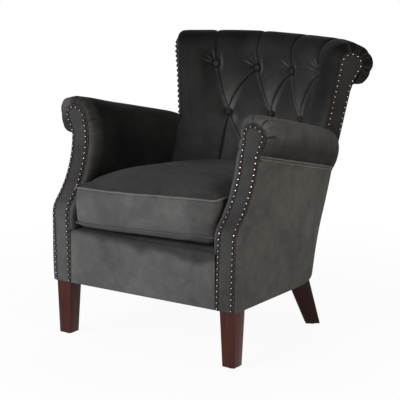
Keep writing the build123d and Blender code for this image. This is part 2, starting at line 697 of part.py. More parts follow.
BACK_SECTION = back_section()
BACK_PLAIN = turned(BACK_SECTION, -BACK_ANGLE, BACK_ANGLE)

arm_pad = along_arm(arm_face) & behind_front(FACING)
arm_pad = arm_pad - back_zone(PLAY)
back_room = turned(outline(Polyline((BACK_LUMBAR_R - PLAY, 0), (2 * ROLL_R, 0), (2 * ROLL_R, 2 * ROLL_Z),
                                    (BACK_LUMBAR_R - PLAY, 2 * ROLL_Z), close=True)), 0, BACK_ANGLE)
corner_slope = SHELL_SLOPE / 2
corner_top = arm_top(ARM_END_Y) - ROLL_DEEP
corner_top_r = SIDE_IN + corner_slope * (corner_top - LEG_HEIGHT)
corner_plan = outline(Polyline((SIDE_IN, LEG_HEIGHT), (2 * ROLL_R, LEG_HEIGHT), (2 * ROLL_R, corner_top),
                               (corner_top_r, corner_top), close=True))
corner_room = turned(corner_plan, BACK_ANGLE - CORNER_LAP, 90)
save_pair("arm_pad", arm_pad - back_room - corner_room)


def facing_outline():
    """Front view of an arm facing: narrow at the foot, waisted under a round scroll head."""
    foot_in, foot_out = (FACING_BOTTOM_IN, LEG_HEIGHT), (FACING_BOTTOM_OUT, LEG_HEIGHT)
    waist_in = (FACING_WAIST_IN, FACING_WAIST_Z)
    waist_out = (FACING_WAIST_OUT, FACING_WAIST_Z + FACING_WAIST_STEP)
    head_in = (ARM_HEAD_X - ARM_HEAD_R, ARM_HEAD_Z)
    head_top = (ARM_HEAD_X, ARM_HEAD_Z + ARM_HEAD_R)
    head_out = (ARM_HEAD_X + ARM_HEAD_R, ARM_HEAD_Z)
    bend = ARM_HEAD_R * sqrt(0.5)
    slope = FACING_HOLLOW * (head_in[0] - waist_in[0])
    return outline(
        Line(foot_in, waist_in),
        arc(waist_in, (waist_in[0] + slope, (waist_in[1] + head_in[1]) / 2), head_in),
        arc(head_in, (ARM_HEAD_X - bend, ARM_HEAD_Z + bend), head_top),
        arc(head_top, (ARM_HEAD_X + bend, ARM_HEAD_Z + bend), head_out),
        arc(head_out, (ARM_HEAD_X + bend, ARM_HEAD_Z - bend), waist_out),
        Line(waist_out, foot_out),
        Line(foot_out, foot_in),
    )


save_pair("arm_facing", front_sheet(facing_outline(), 0, FACING))

# Outside arm: flat along the side, then round the corner to the back


def corner_point(angle, z, inset):
    p = at(angle, shell_r(z) - inset, z)
    return (p.X, p.Y, p.Z)


def seam_z(y):
    """Height of the seam under the arm roll, y from the tub axis."""
    return arm_top(y) - ROLL_DEEP - WELT_R


REAR_EDGE = BACK_ANGLE + 0.1
seam_rear_y = shell_r(SCROLL_Z - ROLL_DEEP) * cos(radians(REAR_EDGE))


def side_strip(level):
    """Edges of the outside arm's thickness at the foot or along the seam under the roll."""
    start, rear = ARM_START, seam_rear_y
    height = (lambda y: LEG_HEIGHT) if level == "foot" else seam_z

    def side(y, inset):
        return (SIDE_X - inset, AXIS_Y + y, height(y))

    def turn(inset):
        z = height(rear)
        end = corner_point(REAR_EDGE, z, inset)
        if level == "foot":
            middle = at((90 + REAR_EDGE) / 2, (SIDE_X + shell_r(z)) / 2 - inset, z)
            return (middle.X, middle.Y, z), end
        along = (end[1] - AXIS_Y) / 2
        bow = (SIDE_X - inset - end[0]) * SIDE_BOW
        middle = (SIDE_X - inset - bow, AXIS_Y + along, height(along))
        return middle, (end[0], end[1], height(end[1] - AXIS_Y))

    out_mid, out_end = turn(0)
    in_mid, in_end = turn(SKIN)
    return make_face([
        Line(side(start, 0), side(0, 0)),
        ThreePointArc(side(0, 0), out_mid, out_end),
        Line(out_end, in_end),
        ThreePointArc(in_end, in_mid, side(0, SKIN)),
        Line(side(0, SKIN), side(start, SKIN)),
        Line(side(start, SKIN), side(start, 0)),
    ])


outside_arm = loft([side_strip("foot"), side_strip("seam")], ruled=True) & behind_front(FACING)
save_pair("outside_arm", outside_arm)

shell_section = sloped(LEG_HEIGHT, ROLL_Z - ROLL_RADIUS - PLAY, lambda z: shell_r(z) - SKIN, shell_r)
save("outside_back", turned(shell_section, -BACK_ANGLE, BACK_ANGLE))

# Double welt that hides the seam under each arm roll


def welt(y_far):
    y_near = front_place(seam_z(ARM_TOP_Y))[0] - AXIS_Y + FACING
    cords = []
    for row in (0, 1):
        drop = WELT_R + 2 * WELT_R * row
        near = Vector(SIDE_X + WELT_R, AXIS_Y + y_near, seam_z(y_near) - drop)
        far = Vector(SIDE_X + WELT_R, AXIS_Y + y_far, seam_z(y_far) - drop)
        plane = Plane(origin=near, z_dir=far - near)
        cords.append(extrude(plane * Circle(WELT_R), amount=(far - near).length))
    return cords[0] + cords[1]


save_pair("arm_welt", welt(0))

# Back facings

facing_plane = radial(BACK_ANGLE)


def back_facing_edges():
    """Outline of a back facing as radius and height, with its scroll head."""
    low = BACK_FACING_LOW_Z
    inner_low = (seam_r(low) - 2 * NAIL_EDGE, low)
    outer_low = (shell_r(low), low)
    head_in = (ROLL_R - BACK_HEAD_R, ROLL_Z)
    head_top = (ROLL_R, ROLL_Z + BACK_HEAD_R)
    head_out = (ROLL_R + BACK_HEAD_R, ROLL_Z)
    neck_z = ROLL_Z - ROLL_RADIUS
    neck = (shell_r(neck_z), neck_z)
    bend = BACK_HEAD_R * sqrt(0.5)
    return [
        Line(inner_low, head_in),
        arc(head_in, (ROLL_R - bend, ROLL_Z + bend), head_top),
        arc(head_top, (ROLL_R + bend, ROLL_Z + bend), head_out),
        arc(head_out, (ROLL_R + bend, ROLL_Z - bend), neck),
        Line(neck, outer_low),
        Line(outer_low, inner_low),
    ]


save_pair("back_facing", extrude(facing_plane * make_face(back_facing_edges()), amount=BACK_FACING))

# Trim nails


def dome(diameter, height):
    """A domed head, flat below, standing along +Z."""
    ball = (diameter ** 2 / 4 + height ** 2) / (2 * height)
    half = asin(diameter / 2 / ball) / 2
    side = outline(
        Line((0, 0), (diameter / 2, 0)),
        arc((diameter / 2, 0), (ball * sin(half), height - ball + ball * cos(half)), (0, height)),
        Line((0, height), (0, 0)),
    )
    return revolve(Plane.XZ * side, axis=Axis.Z)


def run_along(edges):
    """Points a nail step apart along edges that join end to end, as x and height."""
    path = Wire(edges)
    count = round(path.length / NAIL_STEP)
    return [path @ (i / count) for i in range(count + 1)]


def arm_nail_edges():
    """The nails' line: up the inner edge, round the head and down the outer edge."""
    d = NAIL_EDGE
    head = ARM_HEAD_R - d
    bend = head * sqrt(0.5)
    foot = LEG_HEIGHT + d
    waist_in = (FACING_WAIST_IN + d, FACING_WAIST_Z)
    head_in = (ARM_HEAD_X - head, ARM_HEAD_Z)
    head_out = (ARM_HEAD_X + head, ARM_HEAD_Z)
    waist_out = (FACING_WAIST_OUT - d, FACING_WAIST_Z + FACING_WAIST_STEP)
    slope = FACING_HOLLOW * (head_in[0] - waist_in[0])
    return [
        Line((FACING_BOTTOM_IN + d, foot), waist_in),
        arc(waist_in, (waist_in[0] + slope, (waist_in[1] + head_in[1]) / 2), head_in),
        arc(head_in, (ARM_HEAD_X - bend, ARM_HEAD_Z + bend), (ARM_HEAD_X, ARM_HEAD_Z + head)),
        arc((ARM_HEAD_X, ARM_HEAD_Z + head), (ARM_HEAD_X + bend, ARM_HEAD_Z + bend), head_out),
        arc(head_out, (ARM_HEAD_X + bend, ARM_HEAD_Z - bend), waist_out),
        Line(waist_out, (FACING_BOTTOM_OUT - d, foot)),
    ]


def arm_nails():
    heads = []
    proto = dome(NAIL_D, NAIL_H)
    for p in run_along(arm_nail_edges()):
        y, lean = front_place(p.Y)
        out = Vector(0, -cos(radians(lean)), sin(radians(lean)))
        seat = Vector(p.X, y, p.Y) + out * NAIL_SEAT
        heads.append(Plane(origin=seat, x_dir=(1, 0, 0), z_dir=out) * proto)
    return heads


def back_nail_edges():
    d = NAIL_EDGE
    low = BACK_FACING_LOW_Z + d
    head = BACK_HEAD_R - d
    bend = head * sqrt(0.5)
    neck_z = ROLL_Z - ROLL_RADIUS
    neck = (shell_r(neck_z) - d, neck_z)
    head_in, head_out = (ROLL_R - head, ROLL_Z), (ROLL_R + head, ROLL_Z)
    return [
        Line((seam_r(low) - d, low), head_in),
        arc(head_in, (ROLL_R - bend, ROLL_Z + bend), (ROLL_R, ROLL_Z + head)),
        arc((ROLL_R, ROLL_Z + head), (ROLL_R + bend, ROLL_Z + bend), head_out),
        arc(head_out, (ROLL_R + bend, ROLL_Z - bend), neck),
        Line(neck, (shell_r(low) - d, low)),
    ]


def back_nails():
    proto = dome(NAIL_D, NAIL_H)
    plane = facing_plane.offset(BACK_FACING)
    return [plane * Pos(p.X, p.Y) * proto for p in run_along(back_nail_edges())]


save_pair("arm_nails", arm_nails())
save_pair("back_nails", back_nails())

# Tufted back and its buttons


def front_r(z):
    """Front of the back's padding at a height, from its section."""
    a = Vector(BACK_LUMBAR_R, BACK_LUMBAR_Z)
    b = Vector(BACK_MIDDLE_R, BACK_MIDDLE_Z)
    c = Vector(ROLL_R - ROLL_RADIUS, ROLL_Z)
    if z <= a.Y:
        return a.X
    first = (b.X - a.X) * (z - a.Y) / (b.Y - a.Y)
    bow = ((c.X - a.X) / (c.Y - a.Y) - (b.X - a.X) / (b.Y - a.Y)) / (c.Y - b.Y)
    return a.X + first + bow * (z - a.Y) * (z - b.Y)


TUFTS = [(place * TUFT_ANGLE, z) for z, places in TUFT_ROWS for place in places]


def lean_at(z):
    """How far the front of the back leans from upright, in degrees."""
    return degrees(atan2(front_r(z + 5) - front_r(z - 5), 10))


def tuft_plane(angle, z, deep):
    """A plane square to the padding at a tuft, facing the sitter, sunk by a depth."""
    spot = at(angle, front_r(z), z)
    lean = radians(lean_at(z))
    out = Vector(-sin(radians(angle)) * cos(lean), -cos(radians(angle)) * cos(lean), sin(lean))
    return Plane(origin=spot - out * deep, x_dir=(cos(radians(angle)), -sin(radians(angle)), 0), z_dir=out)


def dimple(angle, z):
    """The hollow that a button draws into the padding."""
    reach = TUFT_DEEP + 2 * PLEAT_DEEP
    mouth = TUFT_WIDE * reach / TUFT_DEEP
    cone = Cone(BUTTON_D / 2 + 1, mouth, reach, align=(Align.CENTER, Align.CENTER, Align.MIN))
    return tuft_plane(angle, z, TUFT_DEEP) * cone


def pleat(start, end):
    """A fold between two places on the padding, each an angle and a height."""
    a = at(start[0], front_r(start[1]), start[1])
    b = at(end[0], front_r(end[1]), end[1])
    middle = (start[0] + end[0]) / 2
    into = Vector(sin(radians(middle)), cos(radians(middle)), 0)
    plane = Plane(origin=a, x_dir=into, z_dir=b - a)
    lift = 1.5 * PLEAT_DEEP
    wide = PLEAT_WIDE * (PLEAT_DEEP + lift) / PLEAT_DEEP
    fold = outline(Polyline((PLEAT_DEEP, 0), (-lift, wide), (-lift, -wide), close=True))
    return extrude(plane * fold, amount=(b - a).length)


def roll_pleat(angle):
    """A fold that runs up from a top button and over the roll."""
    deep = ROLL_RADIUS - PLEAT_DEEP * 0.7
    far = ROLL_RADIUS + PLEAT_DEEP
    wide = PLEAT_WIDE * 1.2
    fold = outline(Polyline((-deep, 0), (-far, wide), (-far, -wide), close=True))
    plane = radial(angle)
    centre = at(angle, ROLL_R, ROLL_Z)
    flat = Plane(origin=centre, x_dir=plane.x_dir, z_dir=(0, 0, 1))
    axis = Axis(tuple(centre), tuple(plane.z_dir))
    return revolve(flat * fold, axis=axis, revolution_arc=-ROLL_PLEAT_TURN)


def pleats():
    folds = []
    for upper, lower in zip(TUFT_ROWS, TUFT_ROWS[1:]):
        for place in upper[1]:
            for step in (-0.5, 0.5):
                if place + step in lower[1]:
                    foot = ((place + step) * TUFT_ANGLE, lower[0])
                    folds.append(pleat((place * TUFT_ANGLE, upper[0]), foot))
    low = DECK_TOP_Z
    for z, places in TUFT_ROWS[1:]:
        for place in (min(places), max(places)):
            folds.append(pleat((place * TUFT_ANGLE, z), (place * TUFT_ANGLE, low)))
    return folds + [roll_pleat(place * TUFT_ANGLE) for place in TUFT_ROWS[0][1]]


back_pad = cut_by(BACK_PLAIN, pleats() + [dimple(*tuft) for tuft in TUFTS])
save("back_pad", back_pad)


def button(angle, z):
    """Covered button on its tuft."""
    return tuft_plane(angle, z, TUFT_DEEP) * dome(BUTTON_D, BUTTON_H)


save("back_buttons", [button(*tuft) for tuft in TUFTS])

# Loose cushion

cushion = seat_cushion()
top_piping = piping(PIPING_HIGH_Z)
low_piping = piping(PIPING_LOW_Z)
save("seat_cushion", cushion - top_piping - low_piping)
save("cushion_top_piping", top_piping)
save("cushion_bottom_piping", low_piping)
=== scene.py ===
"""Looks of the button back armchair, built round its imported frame: velvet, piping, nails and polished legs."""
import json
import math

import bmesh
import bpy
import numpy as np
from bpy.props import FloatProperty, FloatVectorProperty, PointerProperty
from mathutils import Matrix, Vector


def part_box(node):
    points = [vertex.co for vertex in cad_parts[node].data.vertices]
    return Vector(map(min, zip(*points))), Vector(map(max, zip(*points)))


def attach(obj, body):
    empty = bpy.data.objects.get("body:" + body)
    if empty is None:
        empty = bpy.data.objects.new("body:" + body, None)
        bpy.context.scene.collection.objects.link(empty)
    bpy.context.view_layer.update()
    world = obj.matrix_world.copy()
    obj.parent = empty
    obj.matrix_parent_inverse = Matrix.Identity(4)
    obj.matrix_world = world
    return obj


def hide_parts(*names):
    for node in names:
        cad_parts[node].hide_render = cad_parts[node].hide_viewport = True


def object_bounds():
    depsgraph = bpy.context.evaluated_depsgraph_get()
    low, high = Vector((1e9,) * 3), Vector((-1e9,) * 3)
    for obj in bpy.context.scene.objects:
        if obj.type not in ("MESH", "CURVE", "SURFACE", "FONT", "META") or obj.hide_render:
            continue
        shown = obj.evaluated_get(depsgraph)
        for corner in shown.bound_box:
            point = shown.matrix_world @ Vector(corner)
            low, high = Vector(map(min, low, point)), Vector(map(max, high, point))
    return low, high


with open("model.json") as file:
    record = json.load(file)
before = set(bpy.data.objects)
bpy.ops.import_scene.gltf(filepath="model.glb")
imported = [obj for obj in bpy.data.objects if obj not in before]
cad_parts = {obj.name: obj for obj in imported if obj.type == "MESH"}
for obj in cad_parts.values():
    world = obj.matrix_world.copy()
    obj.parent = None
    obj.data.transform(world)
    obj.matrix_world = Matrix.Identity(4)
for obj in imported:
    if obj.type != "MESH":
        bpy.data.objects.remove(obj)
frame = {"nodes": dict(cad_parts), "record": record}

bl_info = {
    "name": "Button back armchair",
    "version": (1, 0, 0),
    "blender": (4, 5, 0),
    "location": "View3D > Sidebar > Armchair",
    "description": "Dresses the armchair's frame in velvet, piping, trim nails and polished legs",
    "category": "Add Mesh",
}

# Metres. The chair faces -Y, left is the sitter's left (+X), and the back is turned about the tub axis.
# Angles are measured about that axis from straight back, radii and "along" values from it.

CAD_LOW, CAD_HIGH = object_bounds()
BACK_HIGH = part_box("back_pad")[1]
BORDER_LOW, BORDER_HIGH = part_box("front_border")
CUSHION_LOW, CUSHION_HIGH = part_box("seat_cushion")
DUST_LOW, DUST_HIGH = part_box("dust_cover")
SIDES = (("left", 1), ("right", -1))

# Back
ROLL_RADIUS = 0.065
ROLL_R = 0.462
ROLL_Z = BACK_HIGH.z - ROLL_RADIUS
AXIS_Y = BACK_HIGH.y - ROLL_R - ROLL_RADIUS
BACK_ANGLE = math.radians(43.7)
LUMBAR_R, LUMBAR_Z = 0.306, 0.430
MIDDLE_R, MIDDLE_Z = 0.365, 0.625
SHELL_FOOT_R = 0.340
SHELL_SLOPE = 0.2211
SEAM_INSET = 0.0387
BACK_FACING_LOW_Z = 0.617
BACK_FACING = 0.006
BACK_FACING_LAP = 0.014
BACK_HEAD_R = 0.037
NECK_Z = ROLL_Z - ROLL_RADIUS
BACK_ASIDE = np.array((math.cos(BACK_ANGLE), -math.sin(BACK_ANGLE), 0))

# Arms
FRONT_Y = BORDER_LOW.y
LEG_HEIGHT = BORDER_LOW.z
DECK_TOP_Z = BORDER_HIGH.z
SIDE_X = 0.328
KNEE_R = 0.060
SCROLL_R = 0.292
SCROLL_SETBACK = 0.108
SCROLL_Z = 0.625
SCROLL_Y = FRONT_Y + SCROLL_SETBACK - SCROLL_R
KNEE_Y = FRONT_Y + KNEE_R
KNEE_Z = SCROLL_Z - math.sqrt((SCROLL_R + KNEE_R) ** 2 - (SCROLL_R - SCROLL_SETBACK + KNEE_R) ** 2)
TURN = math.atan2(SCROLL_Z - KNEE_Z, KNEE_Y - SCROLL_Y)
KNEE_TOP_Z = SCROLL_Z - SCROLL_R * math.sin(TURN)
FOOT_IN, FOOT_OUT = 0.260, 0.322
WAIST_IN, WAIST_OUT = 0.271, 0.334
WAIST_IN_Z, WAIST_OUT_Z = 0.560, 0.600
HEAD_X, HEAD_Z, HEAD_R = 0.318, 0.656, 0.037
ARM_IN = 0.250
ARM_TOP_Z, ARM_TOP_ALONG, ARM_SLOPE = 0.721, -0.211, 0.235
ARM_END = 0.312
ARM_TAPER = 0.037
ROLL_TOP_X = 0.315
ROLL_OUT_FRONT, ROLL_OUT_REAR = CAD_HIGH.x, 0.314
ROLL_SHOULDER, ROLL_HALF, ROLL_DEEP = 0.150, 0.055, 0.115
CROWN_SHARE = 0.69
PAD_FOOT_Z = DECK_TOP_Z - 0.004
HEAD_TURN = np.linspace(math.pi, -math.pi / 4, 60)

# Cushion
CUSHION_HALF = CUSHION_HIGH.x
CUSHION_BULGE = 0.008
CUSHION_CORNER = 0.016
CUSHION_TILT, CUSHION_SKEW = 0.013, 0.022
CUSHION_CROWN, CUSHION_FALL = 0.018, 0.018
CUSHION_FRONT = CUSHION_LOW.y + CUSHION_BULGE
CUSHION_REAR = CUSHION_HIGH.y - CUSHION_HALF
TOP_SEAM_Z, LOW_SEAM_Z = (sum(corner.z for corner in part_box(node)) / 2
                          for node in ("cushion_top_piping", "cushion_bottom_piping"))

# Tufts: height of each row, the places along it in steps of the tuft angle, and how far each is drawn aside and up
TUFT_STEP = math.radians(18.6)
TUFT_ROWS = ((0.757, ((-1.5, 0.0, 0.010), (-0.5, 0.04, 0.001), (0.5, 0.05, 0.0), (1.5, 0.03, 0.010))),
             (0.616, ((-1, -0.14, 0.0), (0, 0.07, 0.002), (1, 0.09, -0.001))),
             (0.482, ((-0.5, 0.0, 0.0), (0.5, 0.0, 0.0))))

# Folds gathered at a roll's end: place as a share of the way round it, and fullness
ARM_GATHERS = ((0.05, 0.7), (0.13, 0.9), (0.20, 0.5), (0.33, 1.0), (0.42, 0.5), (0.51, 1.1), (0.60, 0.8), (0.72, 1.2),
               (0.84, 0.5))
BACK_GATHERS = ((0.33, 0.6), (0.47, 0.9), (0.61, 1.0), (0.79, 1.2))

# Folds between the buttons: the radius they are laid out at, and the widths of lapped side, lit edge and shade
FOLD_RADIUS = 0.395
FOLD_LAP, FOLD_LIT, FOLD_SHADE = 0.0036, 0.0046, 0.0024

# Thickness of the covers, how far a nail stands off its facing, and how much the legs' edges are eased
COVER_THICK, BACK_FACING_THICK, BORDER_THICK, LINING_THICK = 0.006, 0.007, 0.008, 0.0008
NAIL_STANDOFF = 0.0005
LEG_EASE = 0.0022

# Finer or coarser: points across the back's grid and along a facing's edge, and the cushion's mesh size
BACK_GRID = 300
EDGE_POINTS = 900
CUSHION_VOXEL = 0.0065

# Cloth of the cushion: pressure, shrinkage below 0 for cloth cut larger, stiffness, and frames to settle in
CLOTH_PRESSURE, CLOTH_SHRINK, CLOTH_BENDING, CLOTH_FRAMES = 4.0, -0.012, 0.9, 20

# The photograph's camera: lens and sensor in millimetres, then what it looks at, angles in degrees and distance
CAMERA_LENS, CAMERA_SENSOR = 137.4, 36.0
CAMERA_AIM = Vector((0.0191, -0.13725, 0.4084))
CAMERA_PLACE = (34.46, 12.33, 4.6025)

# Lamps: what they light, then each one's width and its angles in degrees and distance
LAMP_AIM = Vector((0, -0.05, 0.42))
LAMPS = {"key": (2.2, (-12, 20, 3.2)), "side": (1.4, (84, 4, 3.0)), "rear": (2.0, (205, 40, 3.2))}
WHITE = (1, 1, 1)


def in_metres(name, description, default):
    return FloatProperty(name=name, description=description, default=default, unit="LENGTH")


def in_watts(name, description, default):
    return FloatProperty(name=name, description=description, default=default, unit="POWER")


def in_colour(name, description, default):
    return FloatVectorProperty(name=name, description=description, default=default, subtype="COLOR")


class ArmchairSizes(bpy.types.PropertyGroup):
    """Sizes of the soft work and trim."""

    tuft_depth: in_metres("Tuft depth", "How far a button draws the back in", 0.021)
    pleat_depth: in_metres("Pleat depth", "Depth of the folds between buttons", 0.0125)
    puff: in_metres("Puff", "How far the padding swells between the folds", 0.005)
    edge_roll: in_metres("Edge roll", "Depth of the padded edge beside the facings", 0.026)
    ring_puff: in_metres("Ring puff", "Fullness of the arm rolls beside their facings", 0.010)
    gather_depth: in_metres("Gather depth", "Depth of the folds at the ends of the rolls", 0.0055)
    end_bulge: in_metres("End bulge", "Fullness of the back's roll beside its facings", 0.012)
    piping_radius: in_metres("Piping radius", "Covered cord of the cushion", 0.0031)
    welt_radius: in_metres("Welt radius", "Double welt under the arm rolls", 0.0031)
    nail_diameter: in_metres("Nail diameter", "Head of a trim nail", 0.0106)
    nail_height: in_metres("Nail height", "Height of a trim nail's head", 0.0040)
    nail_step: in_metres("Nail step", "Distance between trim nails", 0.0168)
    nail_edge: in_metres("Nail edge", "Distance of the nails from the facing's edge", 0.007)
    button_diameter: in_metres("Button diameter", "Covered buttons of the back", 0.022)
    button_height: in_metres("Button height", "Dome of a covered button", 0.010)
    crown_cap: in_metres("Crown cap", "Furthest that the cushion's skin may swell", 0.010)


class ArmchairFinish(bpy.types.PropertyGroup):
    """Colours of the chair, its floor and the strength of its light."""

    # The velvet's two colours are the ends of its painted light: the first the fully painted-shade colour, the second
    # the fully painted-lit colour
    velvet: in_colour("Velvet", "Velvet seen along its pile", (0.0060, 0.0061, 0.0066))
    velvet_light: in_colour("Brushed velvet", "Velvet brushed against its pile", (0.150, 0.149, 0.148))
    mahogany: in_colour("Mahogany", "Stained legs", (0.056, 0.0108, 0.0062))
    mahogany_dark: in_colour("Mahogany grain", "Dark grain of the legs", (0.026, 0.0058, 0.0040))
    # The nails' near-white top colour: partly polished brass, partly a painted highlight
    brass: in_colour("Antique brass", "Polished tops of the nails", (0.84, 0.78, 0.75))
    patina: in_colour("Patina", "Dark antique finish of the nails", (0.024, 0.0085, 0.0075))
    floor: in_colour("Floor", "Studio floor", (0.90, 0.90, 0.90))
    key_watts: in_watts("Key light", "Power of the front light", 88)
    side_watts: in_watts("Side light", "Power of the light on the left arm", 52)
    side_tint: in_colour("Side tint", "Warmth of the side light", (1.0, 0.93, 0.80))
    back_watts: in_watts("Back light", "Power of the light behind", 40)
    ambient: FloatProperty(name="Ambient", description="Strength of the white surround", default=0.10,
                           subtype="FACTOR")


# Shader building


class Wire:
    """A node's output that takes part in Python arithmetic."""

    def __init__(self, tree, socket):
        self.tree = tree
        self.socket = socket

    def _math(self, operation, first, second):
        node = self.tree.nodes.new("ShaderNodeMath")
        node.operation = operation
        for socket, value in zip(node.inputs, (first, second)):
            if isinstance(value, Wire):
                self.tree.links.new(value.socket, socket)
            else:
                socket.default_value = value
        return Wire(self.tree, node.outputs[0])

    def __add__(self, other):
        return self._math("ADD", self, other)

    def __radd__(self, other):
        return self._math("ADD", other, self)

    def __sub__(self, other):
        return self._math("SUBTRACT", self, other)

    def __rsub__(self, other):
        return self._math("SUBTRACT", other, self)

    def __mul__(self, other):
        return self._math("MULTIPLY", self, other)

    def above(self, other):
        return self._math("MAXIMUM", self, other)

    def below(self, other):
        return self._math("MINIMUM", self, other)


class Finish:
    """One material and the nodes that make it."""

    def __init__(self, name):
        plain = bpy.data.materials.get(name)
        if plain:
            plain.name = name + "_plain"
        self.material = bpy.data.materials.new(name)
        self.material.use_nodes = True
        self.tree = self.material.node_tree
        self.shader = self.tree.nodes["Principled BSDF"]

    def node(self, kind, settings=None, sockets=None, out=0):
        """Add a node: its settings first, then values or links for its sockets."""
        node = self.tree.nodes.new(kind)
        for name, value in (settings or {}).items():
            setattr(node, name, value)
        for name, value in (sockets or {}).items():
            self.plug(next(s for s in node.inputs if name in (s.identifier, s.name)), value)
        found = node.outputs[out] if isinstance(out, int) else next(
            s for s in node.outputs if out in (s.identifier, s.name))
        return Wire(self.tree, found)

    def plug(self, socket, value):
        if isinstance(value, Wire):
            self.tree.links.new(value.socket, socket)
        elif isinstance(value, (tuple, list)) and len(value) == 3 and socket.type == "RGBA":
            socket.default_value = (*value, 1)
        else:
            socket.default_value = value

    def set(self, **values):
        for name, value in values.items():
            self.plug(self.shader.inputs[name.replace("_", " ")], value)

    def attribute(self, name):
        """A value that the mesh carries on its points."""
        return self.node("ShaderNodeAttribute", settings={"attribute_name": name}, out="Fac")

    def places(self, scale=(1, 1, 1)):
        """Object coordinates, stretched along its axes."""
        spot = self.node("ShaderNodeTexCoord", out="Object")
        return self.node("ShaderNodeMapping", sockets={"Vector": spot, "Scale": scale})

    def noise(self, scale, detail=2.0, rough=0.5, stretch=(1, 1, 1), warp=0.0):
        return self.node("ShaderNodeTexNoise", sockets={
            "Vector": self.places(stretch), "Scale": scale, "Detail": detail, "Roughness": rough,
            "Distortion": warp}, out="Fac")

    def ramp(self, value, low, high):
        return self.node("ShaderNodeMapRange", settings={"interpolation_type": "SMOOTHSTEP"},
                         sockets={"Value": value, "From Min": low, "From Max": high})

    def mix(self, factor, first, second):
        return self.node("ShaderNodeMix", settings={"data_type": "RGBA"}, sockets={
            "Factor_Float": factor, "A_Color": first, "B_Color": second}, out="Result_Color")

    def bump(self, height, strength, distance):
        self.set(Normal=self.node("ShaderNodeBump", sockets={
            "Height": height, "Strength": strength, "Distance": distance}))


def velvet_finish(name, dark, light):
    """Cotton velvet: mixed from its shaded to its lit colour by the painted light and shade each point carries, with
    brushed patches, a soft sheen and a fine pile.
    """
    cloth = Finish(name)
    patches = cloth.ramp(cloth.noise(8.0, 2.0, 0.5, warp=0.3), 0.30, 0.70)
    strokes = cloth.ramp(cloth.noise(34.0, 4.0, 0.62, warp=0.4), 0.28, 0.72)
    pile = cloth.noise(900.0, 2.0, 0.6)
    uneven = (patches - 0.5) * 0.26 + (strokes - 0.5) * 0.24 + (pile - 0.5) * 0.14
    # Painted light and shade: the mesh's value mixes the shaded and the lit velvet colour
    nap = (cloth.attribute("nap") * (1.0 + uneven)).above(0.0).below(1.0)
    cloth.set(Base_Color=cloth.mix(nap, dark, light), Roughness=0.80 + pile * 0.15)
    cloth.set(Specular_IOR_Level=0.02, Sheen_Weight=0.03, Sheen_Roughness=0.30, Sheen_Tint=(0.72, 0.74, 0.80))
    cloth.bump(pile * 0.6 + strokes * 0.4, 0.25, 0.0012)


def mahogany_finish(name, light, dark):
    """Stained and polished legs with their grain upright, turned to a painted shade colour, with a thinner coat, where
    the mesh carries little painted light, as the rear legs do.
    """
    wood = Finish(name)
    figure = wood.noise(9.0, 4.0, 0.6, stretch=(6.0, 6.0, 0.5), warp=1.2)
    pores = wood.noise(60.0, 3.0, 0.7, stretch=(7.0, 7.0, 0.35))
    grain = wood.ramp(figure * 0.7 + pores * 0.3, 0.36, 0.64)
    # Painted shade: little painted light on a leg darkens it towards a shade colour and thins its coat
    painted_leg_light = wood.attribute("nap")
    shade = tuple(0.25 * level for level in dark)
    wood.set(Base_Color=wood.mix(painted_leg_light, shade, wood.mix(grain, dark, light)), Roughness=0.46 - grain * 0.12,
             Coat_Weight=painted_leg_light * 0.10, Coat_Roughness=0.25, Specular_IOR_Level=0.12)
    wood.bump(pores, 0.15, 0.0006)


def brass_finish(name, light, dark):
    """Antique brass: dark round the rim and in the hammer marks, near-white on top, where real rubbing and a painted
    highlight meet; the painted light that the nails carry dims that top.
    """
    metal = Finish(name)
    marks = (metal.noise(160.0, 2.0, 0.6) - 0.5) * 0.08
    # Bright top: partly rubbed brass, partly a painted highlight, scaled by the nails' painted light
    wear_and_highlight = metal.ramp(metal.attribute("top") + marks, 0.905, 0.99) * metal.attribute("nap")
    metal.set(Base_Color=metal.mix(wear_and_highlight, dark, light), Metallic=wear_and_highlight, Roughness=0.40 - wear_and_highlight * 0.18,
              Specular_IOR_Level=0.12)
    metal.bump(metal.noise(420.0, 1.0), 0.20, 0.0005)


def plain_finish(name, light, dark, rough, scale, metallic=0.0, stretch=(1, 1, 1)):
    """Finish of the hidden frame, springs and linings: two tones and a fine relief."""
    coat = Finish(name)
    marks = coat.noise(scale, 3.0, 0.6, stretch=stretch)
    coat.set(Base_Color=coat.mix(coat.ramp(marks, 0.3, 0.7), dark, light), Roughness=rough + marks * 0.15,
             Metallic=metallic)
    coat.bump(marks, 0.2, 0.0006)


def woven_finish(name, light, dark, threads):
    """Plain weave: two sets of threads crossing in the plan."""
    cloth = Finish(name)
    over, under = (cloth.node("ShaderNodeTexWave", settings={"bands_direction": way},
                              sockets={"Vector": cloth.places(), "Scale": threads}, out="Fac") for way in "XY")
    weave = over * under
    cloth.set(Base_Color=cloth.mix(weave, dark, light), Roughness=0.85 + weave * 0.1)
    cloth.bump(weave, 0.3, 0.0006)


# Mesh building


def paint_light(mesh, nap):
    """Note on each point how much painted light it carries, 0 for full painted shade to 1 for full painted light."""
    count = len(mesh.vertices)
    layer = mesh.attributes.get("nap") or mesh.attributes.new("nap", "FLOAT", "POINT")
    layer.data.foreach_set("value", np.broadcast_to(np.asarray(nap, float).ravel(), (count,)).copy())


def add_piece(name, mesh, body="chair"):
    """An object at the origin that shows a mesh and rides on a body of the chair."""
    piece = bpy.data.objects.new(name, mesh)
    bpy.context.scene.collection.objects.link(piece)
    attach(piece, body)
    return piece


def dress(piece, node):
    """Hide the CAD node that a piece stands in for."""
    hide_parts(node)


